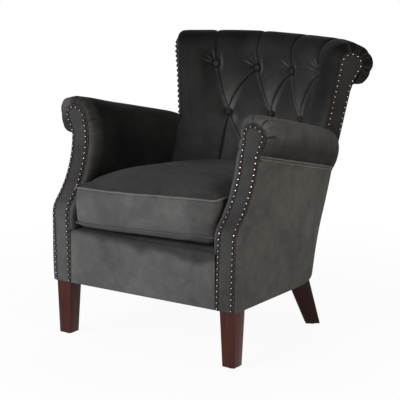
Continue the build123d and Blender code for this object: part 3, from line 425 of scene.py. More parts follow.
def new_piece(name, verts, faces, coat, body="chair", flat=False, nap=0.5):
    """A piece made of points and faces, with doubled points merged and every face turned outwards."""
    mesh = bpy.data.meshes.new(name)
    mesh.from_pydata(np.asarray(verts).tolist(), [], faces)
    mesh.update()
    paint_light(mesh, nap)
    if not flat:
        mesh.shade_smooth()
    mesh.materials.append(bpy.data.materials[coat])
    work = bmesh.new()
    work.from_mesh(mesh)
    bmesh.ops.remove_doubles(work, verts=work.verts, dist=1e-5)
    bmesh.ops.recalc_face_normals(work, faces=work.faces)
    work.to_mesh(mesh)
    work.free()
    return add_piece(name, mesh, body)


def quads(rows, cols, start=0, close_cols=False, turn=False):
    """Faces of a grid of points in rows and columns."""
    span = cols if close_cols else cols - 1
    i, j = np.meshgrid(np.arange(rows - 1), np.arange(span), indexing="ij")
    k = (j + 1) % cols
    found = np.stack([i * cols + j, (i + 1) * cols + j, (i + 1) * cols + k, i * cols + k], -1).reshape(-1, 4)
    return (found[:, ::-1] if turn else found) + start


def unit(rows):
    """Directions scaled to a length of 1."""
    return rows / np.maximum(np.linalg.norm(rows, axis=-1, keepdims=True), 1e-12)


def normals(grid):
    """Unit normals of a grid, across its rows and then its columns."""
    return unit(np.cross(np.gradient(grid, axis=0), np.gradient(grid, axis=1)))


def skin(name, grid, thick, coat, nap=0.5):
    """A closed skin: the grid's face, a copy set in by a thickness, and the rim between them."""
    rows, cols, _ = grid.shape
    inner = grid - normals(grid) * thick
    half = rows * cols
    edge = [(i, 0) for i in range(rows)] + [(rows - 1, j) for j in range(1, cols)]
    edge += [(i, cols - 1) for i in range(rows - 2, -1, -1)] + [(0, j) for j in range(cols - 2, 0, -1)]
    loop = [i * cols + j for i, j in edge]
    rim = [(a, a + half, b + half, b) for a, b in zip(loop, loop[1:] + loop[:1])]
    faces = quads(rows, cols).tolist() + quads(rows, cols, half, turn=True).tolist() + rim
    naps = np.tile(np.broadcast_to(nap, (rows, cols)).ravel(), 2)
    return new_piece(name, np.concatenate([grid, inner]).reshape(-1, 3), faces, coat, nap=naps)


def bolster(name, grid, coat, body="chair", nap=0.5):
    """A closed form through sections: each row is closed on itself and both ends are capped."""
    rows, cols, _ = grid.shape
    faces = quads(rows, cols, close_cols=True).tolist()
    faces.append(list(range(cols)))
    faces.append([(rows - 1) * cols + j for j in range(cols - 1, -1, -1)])
    naps = np.broadcast_to(nap, (rows, cols)).ravel()
    return new_piece(name, grid.reshape(-1, 3), faces, coat, body, nap=naps)


def tube_points(path, radius, sides, closed):
    """A grid of points round a path, with the rings square to it."""
    ahead = np.roll(path, -1, 0) - np.roll(path, 1, 0)
    if not closed:
        ahead[0], ahead[-1] = path[1] - path[0], path[-1] - path[-2]
    ahead = unit(ahead)
    side = unit(np.cross(ahead, (0, 0, 1.0)))
    up = np.cross(side, ahead)
    turn = np.linspace(0, 2 * math.pi, sides, endpoint=False)[None, :, None]
    reach = radius[:, None, None] if np.ndim(radius) else radius
    return path[:, None] + reach * (np.cos(turn) * side[:, None] + np.sin(turn) * up[:, None])


def cord(name, paths, radius, coat, body="chair", closed=False, nap=0.5):
    """Covered cords along paths, as one piece."""
    sides = 12
    verts, faces = [], []
    for path in paths:
        start = sum(len(v) for v in verts)
        last = start + (len(path) - 1) * sides
        verts.append(tube_points(path, radius, sides, closed).reshape(-1, 3))
        faces += quads(len(path), sides, start, close_cols=True).tolist()
        if closed:
            faces += [(last + j, start + j, start + (j + 1) % sides, last + (j + 1) % sides) for j in range(sides)]
        else:
            faces.append([start + j for j in range(sides)])
            faces.append([last + j for j in range(sides - 1, -1, -1)])
    return new_piece(name, np.concatenate(verts), faces, coat, body, nap=nap)


def mirrored(grid):
    """The same grid on the sitter's right."""
    return grid * np.array((-1.0, 1, 1))


def ripple(points, size, seed):
    """Smooth unevenness of stretched cloth, about -1 to 1, over waves of about one size."""
    dice = np.random.default_rng(seed)
    total = 0
    for _ in range(9):
        way = dice.normal(size=3)
        way *= 2 * math.pi / (size * dice.uniform(0.7, 1.6)) / np.linalg.norm(way)
        total = total + np.sin(points @ way + dice.uniform(0, 2 * math.pi))
    return total / 4.5


def smooth(value, low, high):
    """Smooth step from 0 at low to 1 at high."""
    share = np.clip((value - low) / (high - low), 0, 1)
    return share * share * (3 - 2 * share)


def blend(first, second, share):
    """From the first value at a share of 0 to the second at 1."""
    return first + (second - first) * share


def bell(value, width):
    """1 at 0, falling away softly over a width to both sides."""
    return np.exp(-(value / width) ** 2)


def fade(value, width):
    """1 at 0, falling away sharply over a width."""
    return np.exp(-value / width)


def spaced(path, count):
    """Points at equal distances along a polyline."""
    path = np.asarray(path, float)
    run = np.concatenate([[0], np.cumsum(np.linalg.norm(np.diff(path, axis=0), axis=1))])
    want = np.linspace(0, run[-1], count)
    return np.stack([np.interp(want, run, path[:, k]) for k in range(path.shape[1])], 1), run[-1]


def bend_through(a, b, c, count):
    """Points of the circle's arc from a through b to c, in a plane."""
    a, b, c = (np.asarray(p, float) for p in (a, b, c))
    m = np.array([b - a, c - b])
    centre = np.linalg.solve(m, np.array([m[0] @ (a + b) / 2, m[1] @ (b + c) / 2]))
    start, middle, end = (math.atan2(*(p - centre)[::-1]) for p in (a, b, c))
    full = 2 * math.pi
    if (middle - start) % full <= (end - start) % full:
        sweep = (end - start) % full
    else:
        sweep = -((start - end) % full)
    turn = start + np.linspace(0, sweep, count)
    reach = np.linalg.norm(a - centre)
    return centre + reach * np.stack([np.cos(turn), np.sin(turn)], 1)


# Shape of the arm's front and of the back


def front_y(z):
    """Y of the arm's front at a height."""
    knee = np.clip((z - KNEE_Z) / KNEE_R, 0, 1)
    hollow = np.clip((SCROLL_Z - z) / SCROLL_R, -1, 1)
    on_knee = KNEE_Y - KNEE_R * np.sqrt(1 - knee ** 2)
    on_scroll = SCROLL_Y + SCROLL_R * np.sqrt(1 - hollow ** 2)
    return np.where(z <= KNEE_Z, FRONT_Y, np.where(z <= KNEE_TOP_Z, on_knee, on_scroll))


def front_normal(z):
    """Direction that the arm's front faces at a height."""
    knee = np.arcsin(np.clip((z - KNEE_Z) / KNEE_R, 0, 1))
    scroll = np.arcsin(np.clip((SCROLL_Z - z) / SCROLL_R, -1, 1))
    lean = np.where(z <= KNEE_Z, 0, np.where(z <= KNEE_TOP_Z, knee, scroll))
    return np.stack([np.zeros_like(lean), -np.cos(lean), np.sin(lean)], -1)


def shell_r(z):
    return SHELL_FOOT_R + SHELL_SLOPE * (z - LEG_HEIGHT)


def seam_r(z):
    return shell_r(z) - SEAM_INSET


def arm_top(along):
    return ARM_TOP_Z - ARM_SLOPE * (along - ARM_TOP_ALONG)


def seam_z(along):
    """Height of the seam under the arm roll."""
    return arm_top(along) - ROLL_DEEP


def place(angle, radius, z):
    """Points at angles and radii about the tub axis."""
    return np.stack(np.broadcast_arrays(radius * np.sin(angle), AXIS_Y + radius * np.cos(angle), z), -1)


def rounded(x, z, radius, turn):
    """Points of a circle at angles round its centre."""
    return np.stack([x + radius * np.cos(turn), z + radius * np.sin(turn)], 1)


def facing_edges(count, inset=0.0):
    """Edge of an arm facing as x and z: up the inside, round the head, down the outside."""
    head = HEAD_R - inset
    inner = np.array([(FOOT_IN + inset, LEG_HEIGHT + inset), (WAIST_IN + inset, WAIST_IN_Z)])
    hollow = blend(WAIST_IN + inset, HEAD_X - head, 0.3)
    neck = bend_through(inner[1], (hollow, (WAIST_IN_Z + HEAD_Z) / 2), (HEAD_X - head, HEAD_Z), 24)
    outer = np.array([(WAIST_OUT - inset, WAIST_OUT_Z), (FOOT_OUT - inset, LEG_HEIGHT + inset)])
    return spaced(np.concatenate([inner[:1], neck, rounded(HEAD_X, HEAD_Z, head, HEAD_TURN), outer]), count)


def back_facing_edges(count, inset=0.0, tail=0.0):
    """Edge of a back facing as radius and z: up the front, round the head, down the rear, and a tail below."""
    low = BACK_FACING_LOW_Z + inset - tail
    front = np.array([(seam_r(low) - BACK_FACING_LAP + inset, low)])
    ring = rounded(ROLL_R, ROLL_Z, BACK_HEAD_R - inset, HEAD_TURN)
    rear = np.array([(shell_r(NECK_Z) - inset, NECK_Z), (shell_r(low) - inset, low)])
    return spaced(np.concatenate([front, ring, rear]), count)


# Back


def back_profile(count):
    """Section of the back's padding from the deck over the roll: radius, z, normal and length."""
    low = np.array([(LUMBAR_R, DECK_TOP_Z + 0.002)])
    raked = bend_through((LUMBAR_R, LUMBAR_Z), (MIDDLE_R, MIDDLE_Z), (ROLL_R - ROLL_RADIUS, ROLL_Z), 200)
    roll = rounded(ROLL_R, ROLL_Z, ROLL_RADIUS, np.linspace(math.pi, -math.radians(84), 240))
    line, length = spaced(np.concatenate([low, raked, roll[1:]]), count)
    ahead = unit(np.gradient(line, axis=0))
    return line[:, 0], line[:, 1], -ahead[:, 1], ahead[:, 0], np.linspace(0, length, count)


def tuft_places(z, run):
    """Buttons as angle and length along the section, by row from the top."""
    front = slice(0, int(np.argmax(z)))
    return [[((step + aside) * TUFT_STEP, float(np.interp(height + up, z[front], run[front])))
             for step, aside, up in places] for height, places in TUFT_ROWS]


def fold_lines(rows, run_roll, run_end):
    """Folds of the tufting: start, end, depth at both ends, the side that laps over, its width and the fold's bow."""
    folds = []
    for upper, lower in zip(rows, rows[1:]):
        for a in upper:
            for b in lower:
                if abs(a[0] - b[0]) < TUFT_STEP * 0.75:
                    side = 1 if a[0] > b[0] else -1
                    folds.append((a, b, 1.0, 1.0, side, 0.016, 0.010 if side > 0 else 0.003))
    for a in rows[0]:
        folds.append((a, (a[0] * 1.01, run_roll - 0.02), 0.9, 0.45, -1, 0.012, 0.0))
        folds.append(((a[0] * 1.01, run_roll - 0.02), (a[0] * 1.02, run_end), 0.45, 0.25, -1, 0.006, 0.0))
    for a in (rows[1][0], rows[1][-1]):
        folds.append((a, (a[0] * 1.20, a[1] - 0.26), 1.0, 0.8, -1 if a[0] > 0 else 1, 0.014, 0.0))
    for a in rows[2]:
        folds.append((a, (a[0] * 1.02, a[1] - 0.14), 1.0, 0.8, -1, 0.014, 0.0))
    return folds


def fold_marks(fold, angle, run, radius):
    """Distance from a fold, how deep it draws the cover in, and the light and shade along it."""
    a, b, depth_a, depth_b, side, gentle, bow = fold
    dx, dy = (b[0] - a[0]) * FOLD_RADIUS, b[1] - a[1]
    length = math.hypot(dx, dy)
    px, py = (angle - a[0]) * radius, run - a[1]
    share = np.clip((px * dx + py * dy) / length ** 2, 0, 1)
    within = (share > 0) & (share < 1)
    across = (px * dy - py * dx) / length - bow * np.sin(math.pi * share)
    beyond = np.hypot(px - dx * share, py - dy * share)
    gap = np.where(within, np.abs(across), beyond)
    across = np.where(within, across, beyond * np.sign(across))
    depth = blend(depth_a, depth_b, share) * (0.80 + 0.20 * np.abs(2 * share - 1) ** 2)
    lapped = across * side > 0
    crease = depth * np.where(lapped, fade(gap, FOLD_LAP), fade(gap, gentle))
    to_left = b[0] > a[0]
    edge = bell(gap - FOLD_LIT, 0.0020) * (depth - 0.30) * (0.7 + 0.9 * share if to_left else 0.5)
    return gap, crease, np.where(lapped != to_left, edge, 0.0), depth * bell(gap, FOLD_SHADE)


def button_marks(px, py, top_row, dice):
    """Distance from a button, its pull, the creases that fan out from it, and the light and shade round it."""
    gap, turn = np.hypot(px, py), np.arctan2(py, px)
    pull = np.exp(-(np.maximum(gap - 0.008, 0) / 0.021) ** 1.15)
    fan = np.cos(13 * turn + dice.uniform(0, 6)) + 0.7 * np.cos(19 * turn + dice.uniform(0, 6))
    fan *= 1.0 if top_row else 0.2
    rays = fan * blend(0.30, 1.0, smooth(np.sin(turn), -0.1, 0.7)) * bell(gap - 0.026, 0.017)
    lit = 0.75 * np.maximum(rays - 0.15, 0) * smooth(-np.cos(turn), -0.6, 0.5)
    if top_row:
        beside = 0.8 * bell(px - 0.017, 0.005) * bell(py - 0.004, 0.024)
    else:
        above = np.maximum(py, 1e-4)
        wedge = np.exp(-((px - 0.004) / (0.010 + 0.36 * above)) ** 4) * fade(above, 0.052)
        beside = np.maximum(1.5 * smooth(py, 0.002, 0.012) * wedge,
                            0.7 * bell(px - 0.022, 0.012) * bell(py + 0.022, 0.018))
    return gap, pull, rays, np.maximum(lit, beside), 0.8 * bell(np.maximum(gap - 0.010, 0), 0.004)


def tufting(sizes, angle, run, radius, rows, folds, run_roll):
    """How far the cover stands out from the plain padding, and the light and shade on its pile."""
    crease, pull, rays, lit, dark = (np.zeros_like(angle) for _ in range(5))
    nearest = np.full_like(angle, 1.0)
    for fold in folds:
        gap, drawn, light, shade = fold_marks(fold, angle, run, radius)
        nearest, crease = np.minimum(nearest, gap), np.maximum(crease, drawn)
        lit, dark = np.maximum(lit, light), np.maximum(dark, shade)
    dice = np.random.default_rng(11)
    for row in rows:
        for a, s in row:
            gap, drawn, fan, light, shade = button_marks((angle - a) * radius, run - s, row is rows[0], dice)
            nearest, pull, rays = np.minimum(nearest, gap), np.maximum(pull, drawn), rays + fan
            lit, dark = np.maximum(lit, light), np.maximum(dark, shade)
    swell = sizes.puff * (1 - fade(nearest, 0.030)) * (1 - 0.75 * smooth(run, run_roll - 0.07, run_roll))
    sunk = (pull * sizes.tuft_depth) ** 3 + (crease * sizes.pleat_depth) ** 3
    return swell - np.cbrt(sunk) + 0.0016 * rays, lit, dark


def head_gathers(share, spots, reach):
    """Folds gathered round a scroll head, 1 in a full fold; share runs from 0 to 1 round it."""
    depth = np.zeros_like(share)
    for spot, full in spots:
        depth = np.maximum(depth, full * fade(np.abs(share - spot), reach * (0.7 + 0.5 * full)))
    return depth * (share > 0.01) * (share < 0.99)


class ARMCHAIR_OT_back(bpy.types.Operator):
    """Tufted back with its roll, gathered ends and covered buttons"""

    bl_idname = "armchair.back"
    bl_label = "Tufted back"

    def execute(self, context):
        sizes = context.scene.armchair_sizes
        section = back_profile(BACK_GRID)
        radius, z, out_r, out_z, run = section
        rows = tuft_places(z, run)
        on_roll = int(np.argmax(z))
        edge_roll = sizes.edge_roll * 0.75
        low_part = np.where(np.arange(len(z)) < on_roll, smooth(-z, -0.605, -0.54) * smooth(z, 0.34, 0.38), 0)
        end_angle = BACK_ANGLE + math.radians(13) * low_part
        across = np.linspace(-1, 1, BACK_GRID)[:, None]
        angle = across * (end_angle - np.arcsin(np.minimum(edge_roll / radius, 0.5)))
        body = place(angle, radius, z)
        stand, lit, dark = tufting(sizes, angle, np.broadcast_to(run, angle.shape), radius, rows,
                                   fold_lines(rows, run[on_roll], run[-1]), run[on_roll])
        head, share, turned = self.facing_line(radius, z, on_roll)
        aside = np.abs(across)
        stand = stand * (1 - 0.6 * smooth(aside, 0.93, 1.0)) + 0.0016 * ripple(body, 0.11, 3)
        stand += 0.006 * bell(aside - 0.86, 0.07) * smooth(z, 0.56, 0.66) * (z < ROLL_Z)
        fuller = smooth(-turned, -1.2, 0.2) * (1 - smooth(-turned, 0.9, 1.45)) * (share > 0)
        stand += sizes.end_bulge * smooth(aside, 0.80, 0.98) * fuller
        drawn = {side: much * head_gathers(share, BACK_GATHERS, 0.022) for side, much in ((-1, 0.25), (1, 1.0))}
        ends = []
        for side, row in ((-1, 0), (1, -1)):
            folds_in = sizes.gather_depth * drawn[side]
            stand -= fade(np.maximum(1 - side * across, 0) * 0.36, 0.018) * folds_in * 0.6
            edge = radius + stand[row] * out_r, z + stand[row] * out_z
            ends.append(self.end_rows(side, edge, folds_in, edge_roll, end_angle, head, share))
        main = place(angle, radius + stand * out_r, z + stand * out_z)
        nap = self.nap(across, z, run, run[on_roll], body)
        # Painted highlights along the fold edges and beside the buttons, and painted shade in the creases and round
        # the buttons
        nap = np.maximum(nap + 0.66 * lit, 0.012) * (1 - 0.88 * dark)
        nap = np.pad(nap, ((len(ends[0]), len(ends[1])), (0, 0)), mode="edge")
        # Painted shade in the gathered folds at the back's ends, and a painted highlight on their flanks at the +X end
        for rows_in, side in ((nap[:40], -1), (nap[:-41:-1], 1)):
            fold = np.clip(drawn[side], 0, 1)
            near = fade(np.maximum(np.arange(40) - 10, 0), 12)[:, None]
            rows_in *= 1 - 0.75 * near * fold ** 2
            rows_in += 0.10 * near * (fold * (1 - fold) * 4) ** 3 * (side > 0)
        grid = np.concatenate([ends[0][::-1], main, ends[1]])
        dress(bolster("tufted_back", grid, "velvet", nap=nap), "back_pad")
        self.buttons(sizes, rows, section)
        return {"FINISHED"}

    @staticmethod
    def facing_line(radius, z, on_roll):
        """Where the padding meets the facing for each point of the section, and how far round the head that is."""
        turn = np.arctan2(z - ROLL_Z, radius - ROLL_R)
        rolled = (np.arange(len(z)) > on_roll) | (z >= ROLL_Z)
        head_r = blend(BACK_HEAD_R, ROLL_RADIUS, smooth(-turn, math.radians(40), math.radians(90)))
        low = BACK_FACING_LOW_Z
        line_r = blend(seam_r(low) - BACK_FACING_LAP, ROLL_R - BACK_HEAD_R, (z - low) / (ROLL_Z - low))
        straight = np.stack([np.maximum(line_r, radius + 0.012), z], 1)
        share = np.where(rolled, (math.pi - turn) / math.radians(255), -1)
        return np.where(rolled[:, None], rounded(ROLL_R, ROLL_Z, head_r, turn), straight), share, turn

    @staticmethod
    def end_rows(side, edge, folds_in, edge_roll, end_angle, head, share):
        """Rows that lead the cover round one end of the back to its facing, and a last row that caps it inside."""
        edge_r, edge_z = edge
        plane_r = np.sqrt(np.maximum(edge_r ** 2 - edge_roll ** 2, 0))
        draw_r = 0.6 * (ROLL_R - plane_r) / ROLL_RADIUS
        draw_z = 0.6 * np.where(share > 0, ROLL_Z - edge_z, 0) / ROLL_RADIUS
        out = np.stack([np.sin(end_angle), np.cos(end_angle)], 1)
        aside = np.stack([np.cos(end_angle), -np.sin(end_angle)], 1)
        rows = []
        for turn in np.linspace(0, math.pi / 2, 11)[1:]:
            mixed = 1 - math.cos(turn)
            tuck = folds_in * math.sin(turn) ** 0.7 * (turn < 1.5)
            r = blend(plane_r, head[:, 0], mixed) + tuck * draw_r
            beyond = blend(-edge_roll, 0.004, math.sin(turn)) - tuck
            flat = out * r[:, None] + aside * beyond[:, None]
            rows.append(np.stack([side * flat[:, 0], AXIS_Y + flat[:, 1],
                                  blend(edge_z, head[:, 1], mixed) + tuck * draw_z], 1))
        rows.append((place(BACK_ANGLE, head[:, 0], head[:, 1]) - 0.03 * BACK_ASIDE) * (side, 1, 1))
        return np.array(rows)

    @staticmethod
    def nap(across, z, run, top, body):
        """Painted light and shade on the back: darker up to the roll, lighter low down and behind."""
        tone = 0.085 + 0.050 * smooth(across, -0.55, -0.1) - 0.115 * smooth(run, top - 0.10, top)
        tone = tone + 0.21 * (1 - smooth(z, 0.50, 0.76)) - 0.06 * smooth(across, 0.72, 0.95)
        tone = tone + 0.20 * smooth(run, top + 0.05, top + 0.12) * (1 - 0.6 * smooth(across, 0.80, 0.95))
        return tone + 0.030 * ripple(body, 0.10, 4)

    @staticmethod
    def buttons(sizes, rows, section):
        """Covered buttons, set by nodes at the bottom of every tuft."""
        *values, run = section
        sunk = sizes.tuft_depth - 0.002
        seats, aims = [], []
        for angle, s in sum(rows, []):
            r, h, nr, nz = (float(np.interp(s, run, value)) for value in values)
            seats.append(place(angle, r - sunk * nr, h - sunk * nz))
            aims.append((nr * math.sin(angle), nr * math.cos(angle), nz))
        # Painted shade: the buttons carry little painted light
        dress(studs("covered_buttons", seats, aims, sizes.button_diameter, sizes.button_height, 20, 9, "velvet", 0.22),
              "back_buttons")


# Studs: nails and buttons set by nodes


def stud_tree():
    """Node tree that sets a domed head on every point, along the point's own aim."""
    tree = bpy.data.node_groups.new("domed_heads", "GeometryNodeTree")
    tree.interface.new_socket("Geometry", in_out="INPUT", socket_type="NodeSocketGeometry")
    tree.interface.new_socket("Geometry", in_out="OUTPUT", socket_type="NodeSocketGeometry")
    for name, kind in (("Diameter", "NodeSocketFloat"), ("Height", "NodeSocketFloat"), ("Sides", "NodeSocketInt"),
                       ("Rings", "NodeSocketInt"), ("Unevenness", "NodeSocketFloat"), ("Seed", "NodeSocketInt"),
                       ("Material", "NodeSocketMaterial")):
        tree.interface.new_socket(name, in_out="INPUT", socket_type=kind)

    def node(kind, settings=None, links=None):
        made = tree.nodes.new(kind)
        for name, value in (settings or {}).items():
            setattr(made, name, value)
        for name, value in (links or {}).items():
            socket = made.inputs[name]
            if isinstance(value, bpy.types.NodeSocket):
                tree.links.new(value, socket)
            else:
                socket.default_value = value
        return made

    given = node("NodeGroupInput").outputs
    ball = node("GeometryNodeMeshUVSphere", links={"Segments": given["Sides"], "Rings": given["Rings"], "Radius": 1.0})
    lift = node("ShaderNodeSeparateXYZ", links={0: node("GeometryNodeInputPosition").outputs[0]})
    ball = node("GeometryNodeStoreNamedAttribute", {"data_type": "FLOAT", "domain": "POINT"}, {
        "Geometry": ball.outputs["Mesh"], "Name": "top", "Value": lift.outputs["Z"]})
    half = node("ShaderNodeMath", {"operation": "MULTIPLY"}, {0: given["Diameter"], 1: 0.5})
    size = node("ShaderNodeCombineXYZ", links={"X": half.outputs[0], "Y": half.outputs[0], "Z": given["Height"]})
    low = node("ShaderNodeMath", {"operation": "SUBTRACT"}, {0: 1.0, 1: given["Unevenness"]})
    high = node("ShaderNodeMath", {"operation": "ADD"}, {0: 1.0, 1: given["Unevenness"]})
    vary = node("FunctionNodeRandomValue", {"data_type": "FLOAT"})
    floats = [s for s in vary.inputs if s.type == "VALUE"]
    tree.links.new(low.outputs[0], floats[0])
    tree.links.new(high.outputs[0], floats[1])
    tree.links.new(given["Seed"], vary.inputs["Seed"])
    scale = node("ShaderNodeVectorMath", {"operation": "SCALE"}, {"Vector": size.outputs[0]})
    tree.links.new(next(s for s in vary.outputs if s.type == "VALUE"), scale.inputs["Scale"])
    aim = node("GeometryNodeInputNamedAttribute", {"data_type": "FLOAT_VECTOR"}, {"Name": "aim"})
    turn = node("FunctionNodeAlignRotationToVector", {"axis": "Z"},
                {"Vector": next(s for s in aim.outputs if s.type == "VECTOR")})
    heads = node("GeometryNodeInstanceOnPoints", links={
        "Points": given["Geometry"], "Instance": ball.outputs[0], "Rotation": turn.outputs[0],
        "Scale": scale.outputs[0]})
    real = node("GeometryNodeRealizeInstances", links={"Geometry": heads.outputs[0]})
    eased = node("GeometryNodeSetShadeSmooth", links={"Geometry": real.outputs[0]})
    coated = node("GeometryNodeSetMaterial", links={"Geometry": eased.outputs[0], "Material": given["Material"]})
    tree.links.new(coated.outputs[0], node("NodeGroupOutput").inputs[0])
    return tree


def studs(name, seats, aims, diameter, height, sides, rings, coat, nap):
    """Domed heads on seats, as one plain mesh that rides on the chair and carries a share of painted light."""
    tree = bpy.data.node_groups.get("domed_heads") or stud_tree()
    material = bpy.data.materials[coat]
    mesh = bpy.data.meshes.new(name + "_seats")
    mesh.from_pydata([tuple(p) for p in seats], [], [])
    aim = mesh.attributes.new("aim", "FLOAT_VECTOR", "POINT")
    aim.data.foreach_set("vector", np.asarray(aims, float).ravel())
    carrier = bpy.data.objects.new(name + "_seats", mesh)
    bpy.context.scene.collection.objects.link(carrier)
    modifier = carrier.modifiers.new("Heads", "NODES")
    modifier.node_group = tree
    values = {"Diameter": diameter, "Height": height, "Sides": sides, "Rings": rings, "Unevenness": 0.03,
              "Seed": 7, "Material": material}
    for socket in tree.interface.items_tree:
        if socket.in_out == "INPUT" and socket.name in values:
            modifier[socket.identifier] = values[socket.name]
    shown = carrier.evaluated_get(bpy.context.evaluated_depsgraph_get())
    plain = bpy.data.meshes.new_from_object(shown)
    plain.name = name
    bpy.data.objects.remove(carrier)
    plain.materials.clear()
    plain.materials.append(material)
    paint_light(plain, nap)
    return add_piece(name, plain)


# Arms


def arm_section(along, nose):
    """Sizes of an arm's padding at places along it; nose runs from 0 to 1 over the rounded rear end."""
    top = arm_top(along)
    share = np.maximum(0, along) / ARM_END
    crown_x = ROLL_TOP_X - ARM_TAPER * share
    seam = side_path("seam", 60)
    side = np.interp(along, seam[:, 1] - AXIS_Y, seam[:, 0])
    closing = np.sqrt(1 - (0.94 * nose) ** 2)
    out = blend(side, blend(ROLL_OUT_FRONT, ROLL_OUT_REAR, np.minimum(share, 1)), closing)
    top = top - 0.014 * (1 - closing)
    across = crown_x - ARM_IN
    crown_r = CROWN_SHARE * across
    rise = ROLL_SHOULDER - crown_r
    side_r = (across ** 2 + rise ** 2 - crown_r ** 2) / (2 * (across - crown_r))
    turn = np.arctan2(rise, side_r - across)
    return top, out, crown_x, side, crown_r, side_r, turn


def arm_point(step, along, nose):
    """Point of the padding: step 0 to 1 up the inside, to 2 over the shoulder, to 3 over the roll, to 4 under it."""
    top, out, crown_x, side, crown_r, side_r, turn = arm_section(along, nose)
    low_z = top - ROLL_SHOULDER
    x = np.full_like(along, ARM_IN)
    z = blend(PAD_FOOT_Z, low_z, np.clip(step, 0, 1))
    long_arc, short_arc = side_r * turn, crown_r * (math.pi / 2 - turn)
    run = np.clip(step - 1, 0, 1) * (long_arc + short_arc)
    first = np.minimum(run, long_arc) / side_r
    second = turn + np.maximum(run - long_arc, 0) / crown_r
    on_side = run <= long_arc
    x = np.where(step > 1, np.where(on_side, ARM_IN + side_r * (1 - np.cos(first)),
                                    crown_x - crown_r * np.cos(second)), x)
    z = np.where(step > 1, np.where(on_side, low_z + side_r * np.sin(first),
                                    top - crown_r * (1 - np.sin(second))), z)
    over, under = (np.clip(step - turned, 0, 1) * math.pi / 2 for turned in (2, 3))
    x = np.where(step > 2, blend(crown_x, out, np.sin(over)), x)
    z = np.where(step > 2, top - ROLL_HALF * (1 - np.cos(over)), z)
    x = np.where(step > 3, blend(side - 0.001, out, np.cos(under) ** 0.9), x)
    z = np.where(step > 3, top - blend(ROLL_HALF, ROLL_DEEP, np.sin(under) ** 1.05), z)
    return x, z


def facing_point(step):
    """Edge of the facing that belongs to a step round the padding."""
    waist_z = arm_top(front_y(WAIST_IN_Z) - AXIS_Y) - ROLL_SHOULDER
    z = blend(PAD_FOOT_Z, waist_z, np.clip(step, 0, 1))
    x = blend(FOOT_IN, WAIST_IN, (z - LEG_HEIGHT) / (WAIST_IN_Z - LEG_HEIGHT))
    edge, length = facing_edges(EDGE_POINTS)
    run = np.linspace(0, length, len(edge))
    start = float(np.interp(waist_z, edge[:500, 1], run[:500]))
    top, out = (run[int(np.argmax(edge[:, k]))] for k in (1, 0))
    falling = run > out
    foot = float(np.interp(-WAIST_OUT_Z, -edge[falling, 1], run[falling]))
    at_run = np.interp(step, (1, 2, 3, 4), (start, top, out, foot))
    x, z = (np.where(step > 1, np.interp(at_run, run, edge[:, k]), low) for k, low in ((0, x), (1, z)))
    return np.stack([x, z], 1)


